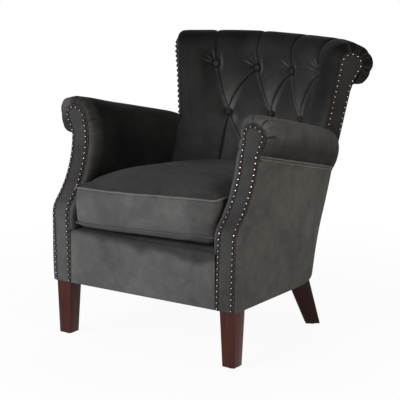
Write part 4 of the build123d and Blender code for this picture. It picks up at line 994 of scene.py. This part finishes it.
class ARMCHAIR_OT_arms(bpy.types.Operator):
    """Inside arms with their rolls, and the padded edge gathered round the scroll heads"""

    bl_idname = "armchair.arms"
    bl_label = "Arms"

    def execute(self, context):
        sizes = context.scene.armchair_sizes
        step = np.concatenate([np.linspace(0, 1, 30)[:-1], np.linspace(1, 2, 62)[:-1], np.linspace(2, 3, 44)[:-1],
                               np.linspace(3, 4, 40)])
        body = self.padding(step, sizes.edge_roll)
        from_front = body[..., 1] - body[:1, :, 1]
        head_share = np.clip((step - 1.15) / 2.6, 0, 1)
        for side, sign in SIDES:
            outer = smooth(step, 2.2, 2.6) * (sign < 0)
            gathers = head_gathers(head_share, ARM_GATHERS, 0.020) * (1 - 0.75 * outer)
            depth = sizes.gather_depth * gathers
            uneven = 0.0012 * ripple(body, 0.10, 31 + sign) - depth * 0.75 * fade(from_front, 0.026)
            puff = sizes.ring_puff * smooth(step, 2.1, 2.8) * (1 - smooth(step, 3.4, 3.9)) * (1 + 1.1 * outer)
            grid = body - normals(body) * (uneven + puff * fade(from_front, 0.030))[..., None]
            rows = self.gathered_rows(grid[0, :, ::2], facing_point(step), depth, sizes.edge_roll)
            full = self.closed_section(np.concatenate([rows[::-1], grid]))
            full = full if sign > 0 else mirrored(full)
            nap = self.nap(sign, step, full[:, :len(step)], len(rows), gathers)
            nap = np.pad(nap, ((0, 0), (0, full.shape[1] - len(step))), mode="edge")
            dress(bolster(side + "_inside_arm", full, "velvet", nap=nap), side + "_arm_pad")
        return {"FINISHED"}

    @staticmethod
    def padding(step, rim):
        """The plain padding, as sections from the front edge to the back."""
        back = (np.linspace(0, 1, 72) ** 1.35)[:, None]
        nose = np.clip((back - 0.80) / 0.20, 0, 1)
        step = np.broadcast_to(step, (len(back), len(step)))
        along = np.zeros(step.shape)
        for _ in range(8):
            x, z = arm_point(step, along, nose)
            lap = 0.012 - 0.016 * smooth(step, 1.7, 2.2)
            finish = (x * math.cos(BACK_ANGLE) + lap) / math.sin(BACK_ANGLE)
            along = blend(front_y(z) + rim - AXIS_Y, finish, back)
        return np.stack([x, AXIS_Y + along, z], -1)

    @staticmethod
    def gathered_rows(edge, facing, gathers, rim):
        """Rows that lead the cover round its front edge to the facing, drawn in at the gathers."""
        inward = unit(facing - edge)
        rows = []
        for turn in np.linspace(0, math.pi / 2, 14)[1:]:
            mixed = 1 - math.cos(turn) ** 0.62
            tuck = gathers * math.sin(turn) ** 0.5 * (1 - 0.8 * mixed ** 4)
            spots = blend(edge, facing, mixed)
            y = front_y(spots[:, 1]) + rim * (1 - math.sin(turn)) + 0.0035 * mixed ** 3 + tuck * 0.8
            spots = spots + inward * tuck[:, None] * 0.5
            rows.append(np.stack([spots[:, 0], y, spots[:, 1]], 1))
        return np.array(rows)

    @staticmethod
    def nap(sign, step, spots, rim_rows, gathers):
        """Painted light and shade on an arm: light over the roll and round the front edge, dark on the far arm's
        inside, painted shade in the gathers with a painted highlight on their flanks.
        """
        behind = np.linspace(0, 0.5, len(spots) - rim_rows - 1) ** 1.35
        behind = np.concatenate([np.zeros(rim_rows + 1), behind])[:, None]
        tone = np.interp(step, (0, 1, 1.6, 2, 2.6, 3.3, 4), (0.10, 0.10, 0.14, 0.52, 0.46, 0.14, 0.10))
        if sign > 0:
            ring = np.interp(step, (2.5, 3.0, 4), (0.42, 0.17, 0.12))
        else:
            ring = np.interp(step, (0, 1, 1.5, 2), (0.40, 0.36, 0.24, 0.16))
            inside = (np.interp(step, (0, 1, 1.4, 1.75), (0.15, 0.14, 0.07, 0.02))
                      + np.interp(step, (1, 1.6), (1.4, 0.65)) * behind)
            tone = blend(inside, tone, smooth(step, 2.05, 2.4))
        tone = blend(tone, np.maximum(tone, ring), 1 - smooth(behind, 0.004, 0.026))
        tone = tone * (1 + 0.16 * ripple(spots, 0.09, 35 + sign))
        fold = np.clip(gathers, 0, 1) * fade(behind, 0.018)
        return tone * (1 - 0.75 * fold ** 2) + 0.22 * (4 * fold * (1 - fold)) ** 3 * (0.2 + ring)

    @staticmethod
    def closed_section(grid):
        """The rows led back to their start behind the facing, and a flat row inside to cap the front."""
        share = np.linspace(0, 1, 26)[1:-1]
        last, first = grid[:, -1:], grid[:, :1]
        back = blend(last, first, share[None, :, None])
        deep = [points[..., 1] - front_y(points[..., 2]) for points in (last, first)]
        back[..., 1] = front_y(back[..., 2]) + blend(*deep, share)
        closed = np.concatenate([grid, back], 1)
        cap = closed[:1].copy()
        cap[..., 1] = FRONT_Y + SCROLL_SETBACK + 0.03
        return np.concatenate([cap, closed])


def side_path(level, count):
    """The outside arm's foot or seam line, from its front to the corner at the back."""
    start = FRONT_Y + 0.003 - AXIS_Y
    end_along = shell_r(0.52) * math.cos(BACK_ANGLE)
    end_r = shell_r(LEG_HEIGHT if level == "foot" else seam_z(end_along))
    corner = (end_r * math.sin(BACK_ANGLE), end_r * math.cos(BACK_ANGLE))
    if level == "foot":
        turn, radius = (math.pi / 2 + BACK_ANGLE) / 2, (SIDE_X + end_r) / 2
        middle = (radius * math.sin(turn), radius * math.cos(turn))
    else:
        middle = (blend(SIDE_X, corner[0], 0.3), corner[1] / 2)
    bend = bend_through((SIDE_X, 0), middle, corner, 60)
    plan, _ = spaced(np.concatenate([[(SIDE_X, start)], bend]), count)
    height = np.full(count, LEG_HEIGHT) if level == "foot" else seam_z(plan[:, 1])
    return np.stack([plan[:, 0], AXIS_Y + plan[:, 1], height], 1)


class ARMCHAIR_OT_outside(bpy.types.Operator):
    """Outside arms, outside back and front border, drawn tight over the frame"""

    bl_idname = "armchair.outside"
    bl_label = "Outside covers"

    def execute(self, context):
        foot, seam = side_path("foot", 150), side_path("seam", 150)
        up = np.linspace(0, 1.03, 90)[None, :, None]
        sheet = blend(foot[:, None], seam[:, None], up)
        first, last = sheet[:1, :, 1], sheet[-1:, :, 1]
        sheet[..., 1] = blend(front_y(sheet[..., 2]) + 0.003, last, (sheet[..., 1] - first) / (last - first))
        tight = np.sin(math.pi * np.clip(up[..., 0], 0, 1)) ** 0.6
        for side, sign in SIDES:
            puff = 0.0035 * tight + 0.0012 * ripple(sheet, 0.16, 40 + sign) * tight
            grid = sheet + normals(sheet) * puff[..., None]
            grid = grid if sign > 0 else mirrored(grid)[::-1]
            # Painted light: the outside arm's tone, with random unevenness
            nap = 0.42 + 0.03 * ripple(grid, 0.25, 43 + sign)
            dress(skin(side + "_outside_arm_cover", grid, COVER_THICK, "velvet", nap), side + "_outside_arm")
        self.back()
        self.border()
        return {"FINISHED"}

    @staticmethod
    def back():
        """Outside back, drawn tight from the foot to the neck under the roll."""
        angle = np.linspace(BACK_ANGLE, -BACK_ANGLE, 130)[:, None]
        z = np.linspace(LEG_HEIGHT, NECK_Z + 0.004, 110)[None]
        tight = (np.sin(math.pi * (z - LEG_HEIGHT) / (NECK_Z - LEG_HEIGHT + 0.004)) ** 0.5
                 * np.maximum(np.cos(angle * math.pi / 2 / BACK_ANGLE), 0) ** 0.4)
        plain = place(angle, shell_r(z), z)
        puff = 0.004 * tight + 0.0012 * ripple(plain, 0.17, 50) * tight
        # Painted light: the outside back's tone, with random unevenness
        nap = 0.36 + 0.04 * ripple(plain, 0.25, 51)
        grid = place(angle, shell_r(z) + puff, z)
        dress(skin("outside_back_cover", grid, COVER_THICK, "velvet", nap), "outside_back")

    @staticmethod
    def border():
        """Front border below the cushion, rounded over at the top, with the cushion's shadow painted along its top."""
        wide = np.linspace(-1, 1, 150)[:, None]
        roll = 0.012
        rise = np.linspace(LEG_HEIGHT, DECK_TOP_Z - roll, 60)
        turn = np.linspace(0, math.pi / 2, 12)[1:]
        z = np.concatenate([rise, DECK_TOP_Z - roll + roll * np.sin(turn)])[None]
        y = np.concatenate([np.full(len(rise), FRONT_Y), FRONT_Y + roll * (1 - np.cos(turn))])[None]
        plain = np.stack(np.broadcast_arrays(wide * BORDER_HIGH.x, y, z), -1)
        up = np.clip((z - LEG_HEIGHT) / (DECK_TOP_Z - LEG_HEIGHT), 0, 1)
        tight = (1 - np.abs(wide) ** 6) * np.sin(math.pi * up) ** 0.6
        puff = 0.003 * tight + 0.0012 * ripple(plain, 0.13, 60) * tight
        # Painted light on the border, darker towards +X, and the cushion's painted shadow along its top
        nap = 0.57 - 0.06 * wide + 0.08 * ripple(plain, 0.20, 61)
        cushion_shadow_reach = (DECK_TOP_Z - z) * (1 + 0.35 * ripple(plain, 0.09, 62)) - 0.020 - 0.012 * wide
        nap = nap * (1 - 0.62 * (1 - smooth(cushion_shadow_reach, -0.014, 0.016)))
        grid = plain + normals(plain) * puff[..., None]
        dress(skin("front_border_cover", grid, BORDER_THICK, "velvet", nap), "front_border")


# Facings and trim nails


def across_facing(edge, rows, cols):
    """Points across an outline, matched row by row up to its head, and how far the cover stands out there."""
    top = int(np.argmax(edge[:, 1]))
    inner, _ = spaced(edge[:top + 1], rows)
    outer, _ = spaced(edge[top:][::-1], rows)
    share = 0.5 - 0.5 * np.cos(np.linspace(0, math.pi, cols))
    crown = 0.0030 * (1 - np.abs(2 * share - 1) ** 5) - 0.0015
    return blend(inner[:, None], outer[:, None], share[None, :, None]), crown[None]


def nail_row_shade(points, line):
    """How much of its painted light the facing keeps beside a row of nails: painted shade along the row."""
    gap = np.min(np.linalg.norm(points[:, :, None] - line[None, None, ::6], axis=-1), axis=-1)
    return 1 - 0.65 * np.exp(-(gap / 0.0045) ** 2)


class ARMCHAIR_OT_facings(bpy.types.Operator):
    """Arm and back facings with a soft crown, set in their rows of nails"""

    bl_idname = "armchair.facings"
    bl_label = "Facings and nails"

    def execute(self, context):
        sizes = context.scene.armchair_sizes
        flat, crown = across_facing(facing_edges(EDGE_POINTS)[0], 160, 31)
        line, _ = facing_edges(EDGE_POINTS, sizes.nail_edge)
        row = np.stack([line[:, 0], front_y(line[:, 1]), line[:, 1]], 1)
        seats, _ = spaced(row, round(spaced(row, 2)[1] / sizes.nail_step) + 1)
        aims = front_normal(seats[:, 2])
        for side, sign in SIDES:
            lift = crown + 0.0005 * ripple(np.pad(flat, ((0, 0), (0, 0), (0, 1))), 0.07, 70 + sign)
            base = np.stack([flat[..., 0], front_y(flat[..., 1]), flat[..., 1]], -1)
            grid = base + front_normal(flat[..., 1]) * lift[..., None]
            grid = grid[:, ::-1] if sign > 0 else mirrored(grid)
            # Painted light on the arm facings: a tone for each side, darker over the knee, and painted shade along the
            # nails
            foot_painted_light = 0.31 if sign > 0 else 0.47
            nap = blend(foot_painted_light, 0.27, smooth(grid[..., 2], KNEE_Z - 0.02, KNEE_TOP_Z + 0.06))
            nap = nap * nail_row_shade(np.stack([np.abs(grid[..., 0]), grid[..., 2]], -1), line)
            dress(skin(side + "_arm_facing_cover", grid, COVER_THICK, "velvet", nap), side + "_arm_facing")
            self.nails(sizes, side + "_arm", sign, seats + aims * NAIL_STANDOFF, aims, 1.0)
        self.back_facings(sizes)
        return {"FINISHED"}

    def back_facings(self, sizes):
        """Facings that close the ends of the back."""
        flat, crown = across_facing(back_facing_edges(EDGE_POINTS, tail=0.075)[0], 90, 17)
        face = place(BACK_ANGLE, flat[..., 0], flat[..., 1]) + BACK_ASIDE * (BACK_FACING + crown)[..., None]
        line, length = back_facing_edges(EDGE_POINTS, sizes.nail_edge, tail=0.020)
        seats, _ = spaced(line, round(length / sizes.nail_step) + 1)
        seats = place(BACK_ANGLE, seats[:, 0], seats[:, 1]) + BACK_ASIDE * (BACK_FACING + NAIL_STANDOFF)
        for side, sign in SIDES:
            grid = face[:, ::-1] if sign > 0 else mirrored(face)
            # Painted light: the back facings' dark tone
            cover = skin(side + "_back_facing_cover", grid, BACK_FACING_THICK, "velvet", 0.115)
            dress(cover, side + "_back_facing")
            self.nails(sizes, side + "_back", sign, seats, np.broadcast_to(BACK_ASIDE, seats.shape), 0.6)

    @staticmethod
    def nails(sizes, part, sign, seats, aims, painted_highlight_share):
        """A facing's row of trim nails, their bright tops, partly a painted highlight, kept to a share."""
        mirror = (sign, 1, 1)
        dress(studs(part + "_trim_nails", seats * mirror, aims * mirror, sizes.nail_diameter, sizes.nail_height, 12, 7,
                    "antique_brass", painted_highlight_share), part + "_nails")


# Cushion

# How far each ring of the cushion's skin lies inside its outline, and above its nearest seam
UNDER_RINGS = ((0.150, -0.017), (0.090, -0.017), (0.040, -0.017), (0.012, -0.014), (0.003, -0.008), (0.0, 0.0),
               (-0.002, 0.018))
OVER_RINGS = ((-0.002, -0.018), (0.0, 0.0), (0.012, 0.006), (0.040, 0.012), (0.090, 0.015), (0.150, 0.016))


def cushion_plan(inset, count):
    """The cushion's outline in plan, drawn in by an inset, as a closed run of points."""
    half, corner = CUSHION_HALF - inset, CUSHION_CORNER - 0.1 * inset
    front = CUSHION_FRONT + inset
    turn = corner * (1 - math.sqrt(0.5))
    right = [bend_through((0, front - CUSHION_BULGE),
                          (half / 2 - corner / 2, front - CUSHION_BULGE * 0.75), (half - corner, front), 30),
             bend_through((half - corner, front), (half - turn, front + turn), (half, front + corner), 16),
             bend_through((half, CUSHION_REAR), (half * math.sqrt(0.5), CUSHION_REAR + half * math.sqrt(0.5)),
                          (0, CUSHION_REAR + half), 60)]
    right = np.concatenate(right)
    left = right[::-1] * (-1, 1)
    ring, _ = spaced(np.concatenate([right, left[1:]]), count + 1)
    return ring[:-1]


def lifted_corner(points):
    """Set of the cushion's left front corner, wedged up and back against the arm."""
    forward = 1 - smooth(points[:, 1], CUSHION_FRONT, CUSHION_FRONT + 0.30)
    share = smooth(points[:, 0], -0.24, 0.26) * forward
    return np.stack([0 * share, CUSHION_SKEW * share, CUSHION_TILT * share], 1)


def crowned(points):
    """How far the cushion's top is filled, from 0 at its seam to 1 in the middle."""
    beside = CUSHION_HALF - np.hypot(points[:, 0], np.maximum(points[:, 1] - CUSHION_REAR, 0))
    ahead = points[:, 1] - CUSHION_FRONT
    return np.prod([1 - np.exp(-np.maximum(gap, 0) / 0.040) for gap in (beside, ahead)], axis=0)


def coords(mesh):
    """A mesh's points as rows of x, y and z."""
    spots = np.empty(len(mesh.vertices) * 3)
    mesh.vertices.foreach_get("co", spots)
    return spots.reshape(-1, 3)


def worked(piece, kind, **settings):
    """Add a modifier with its settings and make it part of the mesh."""
    modifier = piece.modifiers.new(kind.title(), kind)
    for name, value in settings.items():
        setattr(modifier, name, value)
    bpy.context.view_layer.objects.active = piece
    bpy.ops.object.modifier_apply(modifier=modifier.name)


class ARMCHAIR_OT_cushion(bpy.types.Operator):
    """Loose box cushion, blown up as cloth between its two seams, with covered piping on both"""

    bl_idname = "armchair.cushion"
    bl_label = "Seat cushion"

    def execute(self, context):
        sizes = context.scene.armchair_sizes
        count = 200
        levels = [(inset, LOW_SEAM_Z + rise) for inset, rise in UNDER_RINGS]
        levels += [(-0.004, (LOW_SEAM_Z + TOP_SEAM_Z) / 2)]
        levels += [(inset, TOP_SEAM_Z + rise) for inset, rise in OVER_RINGS]
        rings = [np.column_stack([cushion_plan(inset, count), np.full(count, z)]) for inset, z in levels]
        piece = bolster("seat_cushion_cover", np.array(rings), "velvet", "cushion")
        worked(piece, "REMESH", mode="VOXEL", voxel_size=CUSHION_VOXEL)
        self.swell(piece, sizes.crown_cap)
        self.settle(piece)
        dress(piece, "seat_cushion")
        # Painted light on the piping: a painted highlight on the top cord, a darker bottom cord
        for level, z, seed, nap in (("top", TOP_SEAM_Z, 81, 0.85), ("bottom", LOW_SEAM_Z, 82, 0.45)):
            ring = np.column_stack([cushion_plan(-0.5 * sizes.piping_radius, 420), np.full(420, z)])
            ring[:, 2] += 0.0008 * ripple(ring, 0.07, seed)
            ring += lifted_corner(ring)
            radius = sizes.piping_radius * (1 + 0.05 * ripple(ring, 0.03, seed + 5))
            trim = cord("seat_" + level + "_piping_cord", [ring], radius, "velvet", "cushion", closed=True, nap=nap)
            dress(trim, "cushion_" + level + "_piping")
        return {"FINISHED"}

    @staticmethod
    def swell(piece, cap):
        """Let pressure fill the cushion, with its seams held and its swelling kept within a cap."""
        scene = bpy.context.scene
        start = coords(piece.data)
        seams = piece.vertex_groups.new(name="seams")
        near = (np.abs(start[:, 2] - TOP_SEAM_Z) < 0.004) | (np.abs(start[:, 2] - LOW_SEAM_Z) < 0.004)
        seams.add(np.nonzero(near)[0].tolist(), 1.0, "ADD")
        cloth = piece.modifiers.new("Cloth", "CLOTH")
        cloth.settings.use_pressure = True
        cloth.settings.uniform_pressure_force = CLOTH_PRESSURE
        cloth.settings.vertex_group_mass = seams.name
        cloth.settings.effector_weights.gravity = 0
        cloth.settings.shrink_min = CLOTH_SHRINK
        cloth.settings.bending_stiffness = CLOTH_BENDING
        cloth.point_cache.frame_start, cloth.point_cache.frame_end = 1, CLOTH_FRAMES
        for number in range(1, CLOTH_FRAMES + 1):
            scene.frame_set(number)
        bpy.ops.object.modifier_apply(modifier=cloth.name)
        scene.frame_set(1)
        move = coords(piece.data) - start
        far = np.linalg.norm(move, axis=1, keepdims=True)
        move *= np.tanh(far / cap) * cap / np.maximum(far, 1e-9)
        move *= np.where(start[:, 2:] < LOW_SEAM_Z - 0.003, 0.25, 1.0)
        piece.data.vertices.foreach_set("co", (start + move).ravel())
        piece.vertex_groups.clear()

    @staticmethod
    def settle(piece):
        """Iron the skin, fill its crown, flatten it where it rests on the deck and paint light and shade on it: a
        lighter border, darker towards +X, and a darker top, lighter towards the back.
        """
        worked(piece, "SMOOTH", factor=0.5, iterations=6)
        worked(piece, "SUBSURF", levels=1, render_levels=1)
        mesh = piece.data
        spots = coords(mesh)
        above = smooth(spots[:, 2], TOP_SEAM_Z, TOP_SEAM_Z + 0.02)
        spots[:, 2] += above * (0.0022 * ripple(spots, 0.17, 91) + CUSHION_CROWN * crowned(spots))
        spots[:, 2] -= above * CUSHION_FALL * smooth(spots[:, 1], AXIS_Y - 0.14, AXIS_Y + 0.16)
        beside = (smooth(spots[:, 2], LOW_SEAM_Z, LOW_SEAM_Z + 0.02)
                  * (1 - smooth(spots[:, 2], TOP_SEAM_Z - 0.02, TOP_SEAM_Z)))
        spots[:, 1] += beside * 0.0016 * ripple(spots, 0.09, 92) * (spots[:, 1] < CUSHION_FRONT + 0.04)
        spots[:, 2] = np.maximum(spots[:, 2], CUSHION_LOW.z)
        shift = lifted_corner(spots)
        shift[:, 2] *= smooth(spots[:, 2], CUSHION_LOW.z, LOW_SEAM_Z)
        spots += shift
        mesh.vertices.foreach_set("co", spots.ravel())
        mesh.shade_smooth()
        mesh.update()
        # Painted light and shade: the border light, the top dark, chosen by how far each point faces up
        facing_up = np.array([v.normal.z for v in mesh.vertices])
        border = 0.52 - 0.22 * spots[:, 0] + 0.09 * ripple(spots, 0.16, 93)
        top = 0.29 + 0.12 * smooth(spots[:, 1], AXIS_Y - 0.16, AXIS_Y + 0.10) + 0.05 * ripple(spots, 0.25, 94)
        paint_light(mesh, blend(border, top, smooth(facing_up, 0.35, 0.85)))


# Welts, legs, deck and linings


class ARMCHAIR_OT_trim(bpy.types.Operator):
    """Double welt under each arm roll"""

    bl_idname = "armchair.trim"
    bl_label = "Welts"

    def execute(self, context):
        sizes = context.scene.armchair_sizes
        seam = side_path("seam", 220)
        seam = seam[seam[:, 1] > front_y(seam[:1, 2]) + 0.004]
        ahead = np.gradient(seam, axis=0)
        out = unit(np.stack([ahead[:, 1], -ahead[:, 0], 0 * ahead[:, 0]], 1))
        out *= (1 - 2.5 * smooth(np.arange(len(seam)), len(seam) - 12, len(seam)))[:, None]
        r = sizes.welt_radius
        for side, sign in SIDES:
            paths = []
            for row in (0, 1):
                path = seam + out * (r * 0.9 + 0.0025) - np.array((0, 0, r + 2.6 * r * row))
                path[:, 2] += 0.0005 * ripple(path, 0.06, 100 + row + sign)
                paths.append(path * (sign, 1, 1))
            # Painted light: the welts' light tone
            dress(cord(side + "_arm_double_welt", paths, r, "velvet", nap=0.66), side + "_arm_welt")
        return {"FINISHED"}


class ARMCHAIR_OT_legs(bpy.types.Operator):
    """Square tapered legs with eased edges"""

    bl_idname = "armchair.legs"
    bl_label = "Legs"

    def execute(self, context):
        for node in ("left_front_leg", "right_front_leg", "left_rear_leg", "right_rear_leg"):
            spots = coords(frame["nodes"][node].data)
            foot, top = (self.corners(spots, z) for z in (spots[:, 2].min(), spots[:, 2].max()))
            top = min((np.roll(top, k, 0) for k in range(4)),
                      key=lambda ring: np.linalg.norm(ring - foot, axis=1).sum())
            faces = [(3, 2, 1, 0), (4, 5, 6, 7)] + [(i, (i + 1) % 4, (i + 1) % 4 + 4, i + 4) for i in range(4)]
            # Painted shade: the rear legs carry little painted light and render darker than the front legs
            piece = new_piece(node.replace("leg", "tapered_leg"), np.concatenate([foot, top]), faces, "mahogany",
                              flat=True, nap=1.0 if "front" in node else 0.18)
            worked(piece, "BEVEL", width=LEG_EASE, segments=3)
            piece.data.shade_smooth()
            dress(piece, node)
        return {"FINISHED"}

    @staticmethod
    def corners(spots, z):
        """The four corners of a leg's solid at a height, in turn."""
        level = spots[np.abs(spots[:, 2] - z) < 1e-5][:, :2]
        centre = (level.min(0) + level.max(0)) / 2
        reach = np.linalg.norm(level - centre, axis=1)
        far = level[reach > 0.9 * reach.max()]
        ring = far[np.argsort(np.arctan2(*(far - centre).T[::-1]))]
        apart = [0] + [i for i in range(1, len(ring)) if np.linalg.norm(ring[i] - ring[i - 1]) > 0.005]
        return np.column_stack([ring[apart][:4], np.full(4, z)])


class ARMCHAIR_OT_linings(bpy.types.Operator):
    """Seat deck under the cushion and the dust cover under the frame"""

    bl_idname = "armchair.linings"
    bl_label = "Deck and dust cover"

    def execute(self, context):
        low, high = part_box("seat_deck")
        half, front = high.x, low.y
        rear_r = high.y - AXIS_Y

        def plan(inset, count):
            angle = math.asin((half - inset) / (rear_r - inset)) if rear_r - inset > half - inset else math.pi / 2
            turn = np.linspace(angle, 0, 60)
            rear = np.stack([(rear_r - inset) * np.sin(turn), AXIS_Y + (rear_r - inset) * np.cos(turn)], 1)
            right = np.concatenate([[(0, front + inset), (half - inset, front + inset)], rear])
            ring, _ = spaced(np.concatenate([right, right[::-1][1:] * (-1, 1)]), count + 1)
            return ring[:-1]

        levels = [(0.0, low.z), (0.0, high.z - 0.012), (0.004, high.z - 0.005), (0.014, high.z - 0.0015),
                  (0.05, high.z), (0.12, high.z), (0.2, high.z)]
        rings = [np.column_stack([plan(inset, 160), np.full(160, z)]) for inset, z in levels]
        dress(bolster("seat_deck_cover", np.array(rings), "lining_velvet"), "seat_deck")
        self.dust_cover()
        return {"FINISHED"}

    @staticmethod
    def dust_cover():
        """Thin black cloth tacked under the frame, sagging a little between the rails."""
        half = DUST_HIGH.x
        count = 60
        wide = np.linspace(-1, 1, count)[:, None]
        front, rear_r = DUST_LOW.y, DUST_HIGH.y - AXIS_Y
        along = np.linspace(0, 1, count)[None]
        x = wide * half
        rear = AXIS_Y + np.sqrt(np.maximum(rear_r ** 2 - (x * 0.999) ** 2, 0))
        y = front + (rear - front) * along
        sag = 0.004 * (1 - np.abs(wide) ** 3) * np.sin(math.pi * along)
        grid = np.stack(np.broadcast_arrays(x, y, DUST_LOW.z + 0.0003 - sag), -1)
        piece = skin("dust_cover_cloth", grid[::-1], LINING_THICK, "black_lining")
        dress(piece, "dust_cover")


class ARMCHAIR_OT_finishes(bpy.types.Operator):
    """Materials of the chair, and those of the frame that stays inside it"""

    bl_idname = "armchair.finishes"
    bl_label = "Finishes"

    def execute(self, context):
        tones = context.scene.armchair_finish
        dark, light = tuple(tones.velvet), tuple(tones.velvet_light)
        velvet_finish("velvet", dark, light)
        velvet_finish("lining_velvet", tuple(0.8 * c for c in dark), tuple(0.8 * c for c in light))
        mahogany_finish("mahogany", tuple(tones.mahogany), tuple(tones.mahogany_dark))
        brass_finish("antique_brass", tuple(tones.brass), tuple(tones.patina))
        plain_finish("beech", (0.52, 0.36, 0.22), (0.40, 0.26, 0.15), 0.55, 30.0, stretch=(1, 1, 0.3))
        plain_finish("steel", (0.50, 0.50, 0.52), (0.36, 0.36, 0.38), 0.30, 80.0, metallic=1.0)
        plain_finish("glide_plastic", (0.030, 0.030, 0.032), (0.018, 0.018, 0.019), 0.45, 200.0)
        woven_finish("black_lining", (0.020, 0.020, 0.021), (0.006, 0.006, 0.006), 160.0)
        woven_finish("webbing", (0.36, 0.28, 0.18), (0.20, 0.15, 0.09), 90.0)
        for entry in frame["record"]["subparts"]:
            coats = frame["nodes"][entry["node"]].data.materials
            coats.clear()
            coats.append(bpy.data.materials[entry["material_slot"]])
        return {"FINISHED"}


# Stage


class ARMCHAIR_OT_stage(bpy.types.Operator):
    """Pale floor, soft lights and the camera"""

    bl_idname = "armchair.stage"
    bl_label = "Stage"

    def execute(self, context):
        tones = context.scene.armchair_finish
        scene = context.scene
        scene.view_settings.view_transform = "Standard"
        self.floor(tuple(tones.floor))
        self.surround(tones.ambient)
        self.light("key", tones.key_watts, WHITE)
        self.light("side", tones.side_watts, tuple(tones.side_tint))
        self.light("rear", tones.back_watts, WHITE)
        self.camera(scene)
        return {"FINISHED"}

    @staticmethod
    def seen_directly(tree):
        """1 for rays that show the backdrop itself: from the camera, off gloss or through glass."""
        path = tree.nodes.new("ShaderNodeLightPath")
        camera, glossy, through = (Wire(tree, path.outputs["Is " + kind + " Ray"])
                                   for kind in ("Camera", "Glossy", "Transmission"))
        return camera.above(glossy).above(through)

    def floor(self, colour):
        """Pale floor that keeps the chair's shadow and is white further off."""
        size = 14.0
        mesh = bpy.data.meshes.new("floor")
        mesh.from_pydata([(-size, -size, 0), (size, -size, 0), (size, size, 0), (-size, size, 0)], [], [(0, 1, 2, 3)])
        piece = bpy.data.objects.new("floor", mesh)
        bpy.context.scene.collection.objects.link(piece)
        paint = Finish("studio_floor")
        speck = paint.noise(3.0, 2.0)
        paint.set(Base_Color=paint.mix(speck, colour, tuple(0.98 * c for c in colour)), Roughness=0.9)
        glow, mixed = (paint.tree.nodes.new("ShaderNode" + kind) for kind in ("Emission", "MixShader"))
        spot = paint.node("ShaderNodeTexCoord", out="Object")
        away = paint.node("ShaderNodeVectorMath", settings={"operation": "LENGTH"}, sockets={"Vector": spot},
                          out="Value")
        white = self.seen_directly(paint.tree) * (0.93 + paint.ramp(away, 0.5, 1.6) * 0.07)
        for number, found in enumerate((white.socket, paint.shader.outputs[0], glow.outputs[0])):
            paint.tree.links.new(found, mixed.inputs[number])
        paint.tree.links.new(mixed.outputs[0], paint.tree.nodes["Material Output"].inputs["Surface"])
        mesh.materials.append(paint.material)

    def surround(self, ambient):
        """White backdrop that lights the chair only a little."""
        world = bpy.data.worlds.new("surround")
        bpy.context.scene.world = world
        world.use_nodes = True
        tree = world.node_tree
        back = tree.nodes["Background"]
        back.inputs["Color"].default_value = (1, 1, 1, 1)
        strength = self.seen_directly(tree) * (1 - ambient) + ambient
        tree.links.new(strength.socket, back.inputs["Strength"])

    @staticmethod
    def aimed(name, data, target, azimuth, elevation, far):
        """A lamp or camera that looks at a target from an angle, in degrees, and a distance."""
        a, e = math.radians(azimuth), math.radians(elevation)
        back = Vector((math.sin(a) * math.cos(e), -math.cos(a) * math.cos(e), math.sin(e)))
        holder = bpy.data.objects.new(name, data)
        holder.location = target + back * far
        holder.rotation_mode = "QUATERNION"
        holder.rotation_quaternion = back.to_track_quat("Z", "Y")
        bpy.context.scene.collection.objects.link(holder)
        return holder

    def light(self, name, watts, tint):
        """A soft square lamp from the list."""
        size, where = LAMPS[name]
        lamp = bpy.data.lights.new(name, "AREA")
        lamp.energy, lamp.size, lamp.color = watts, size, tint
        self.aimed(name, lamp, LAMP_AIM, *where)

    def camera(self, scene):
        """The photograph's own viewpoint."""
        eye = bpy.data.cameras.new("camera")
        eye.lens, eye.sensor_width = CAMERA_LENS, CAMERA_SENSOR
        scene.camera = self.aimed("camera", eye, CAMERA_AIM, *CAMERA_PLACE)


STEPS = (ARMCHAIR_OT_finishes, ARMCHAIR_OT_legs, ARMCHAIR_OT_linings, ARMCHAIR_OT_outside, ARMCHAIR_OT_arms,
         ARMCHAIR_OT_back, ARMCHAIR_OT_facings, ARMCHAIR_OT_trim, ARMCHAIR_OT_cushion, ARMCHAIR_OT_stage)


class ARMCHAIR_PT_panel(bpy.types.Panel):
    """Sizes, finishes and steps of the armchair"""

    bl_idname = "ARMCHAIR_PT_panel"
    bl_label = "Armchair"
    bl_space_type = "VIEW_3D"
    bl_region_type = "UI"
    bl_category = "Armchair"

    def draw(self, context):
        for group in (context.scene.armchair_sizes, context.scene.armchair_finish):
            for name in group.__annotations__:
                self.layout.prop(group, name)
        for step in STEPS:
            self.layout.operator(step.bl_idname)


CLASSES = (ArmchairSizes, ArmchairFinish, *STEPS, ARMCHAIR_PT_panel)


def register():
    for cls in CLASSES:
        bpy.utils.register_class(cls)
    bpy.types.Scene.armchair_sizes = PointerProperty(type=ArmchairSizes)
    bpy.types.Scene.armchair_finish = PointerProperty(type=ArmchairFinish)


def unregister():
    del bpy.types.Scene.armchair_finish
    del bpy.types.Scene.armchair_sizes
    for cls in reversed(CLASSES):
        bpy.utils.unregister_class(cls)


def main():
    register()
    for step in STEPS:
        family, name = step.bl_idname.split(".")
        getattr(getattr(bpy.ops, family), name)()
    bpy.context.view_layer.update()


if __name__ == "__main__":
    main()
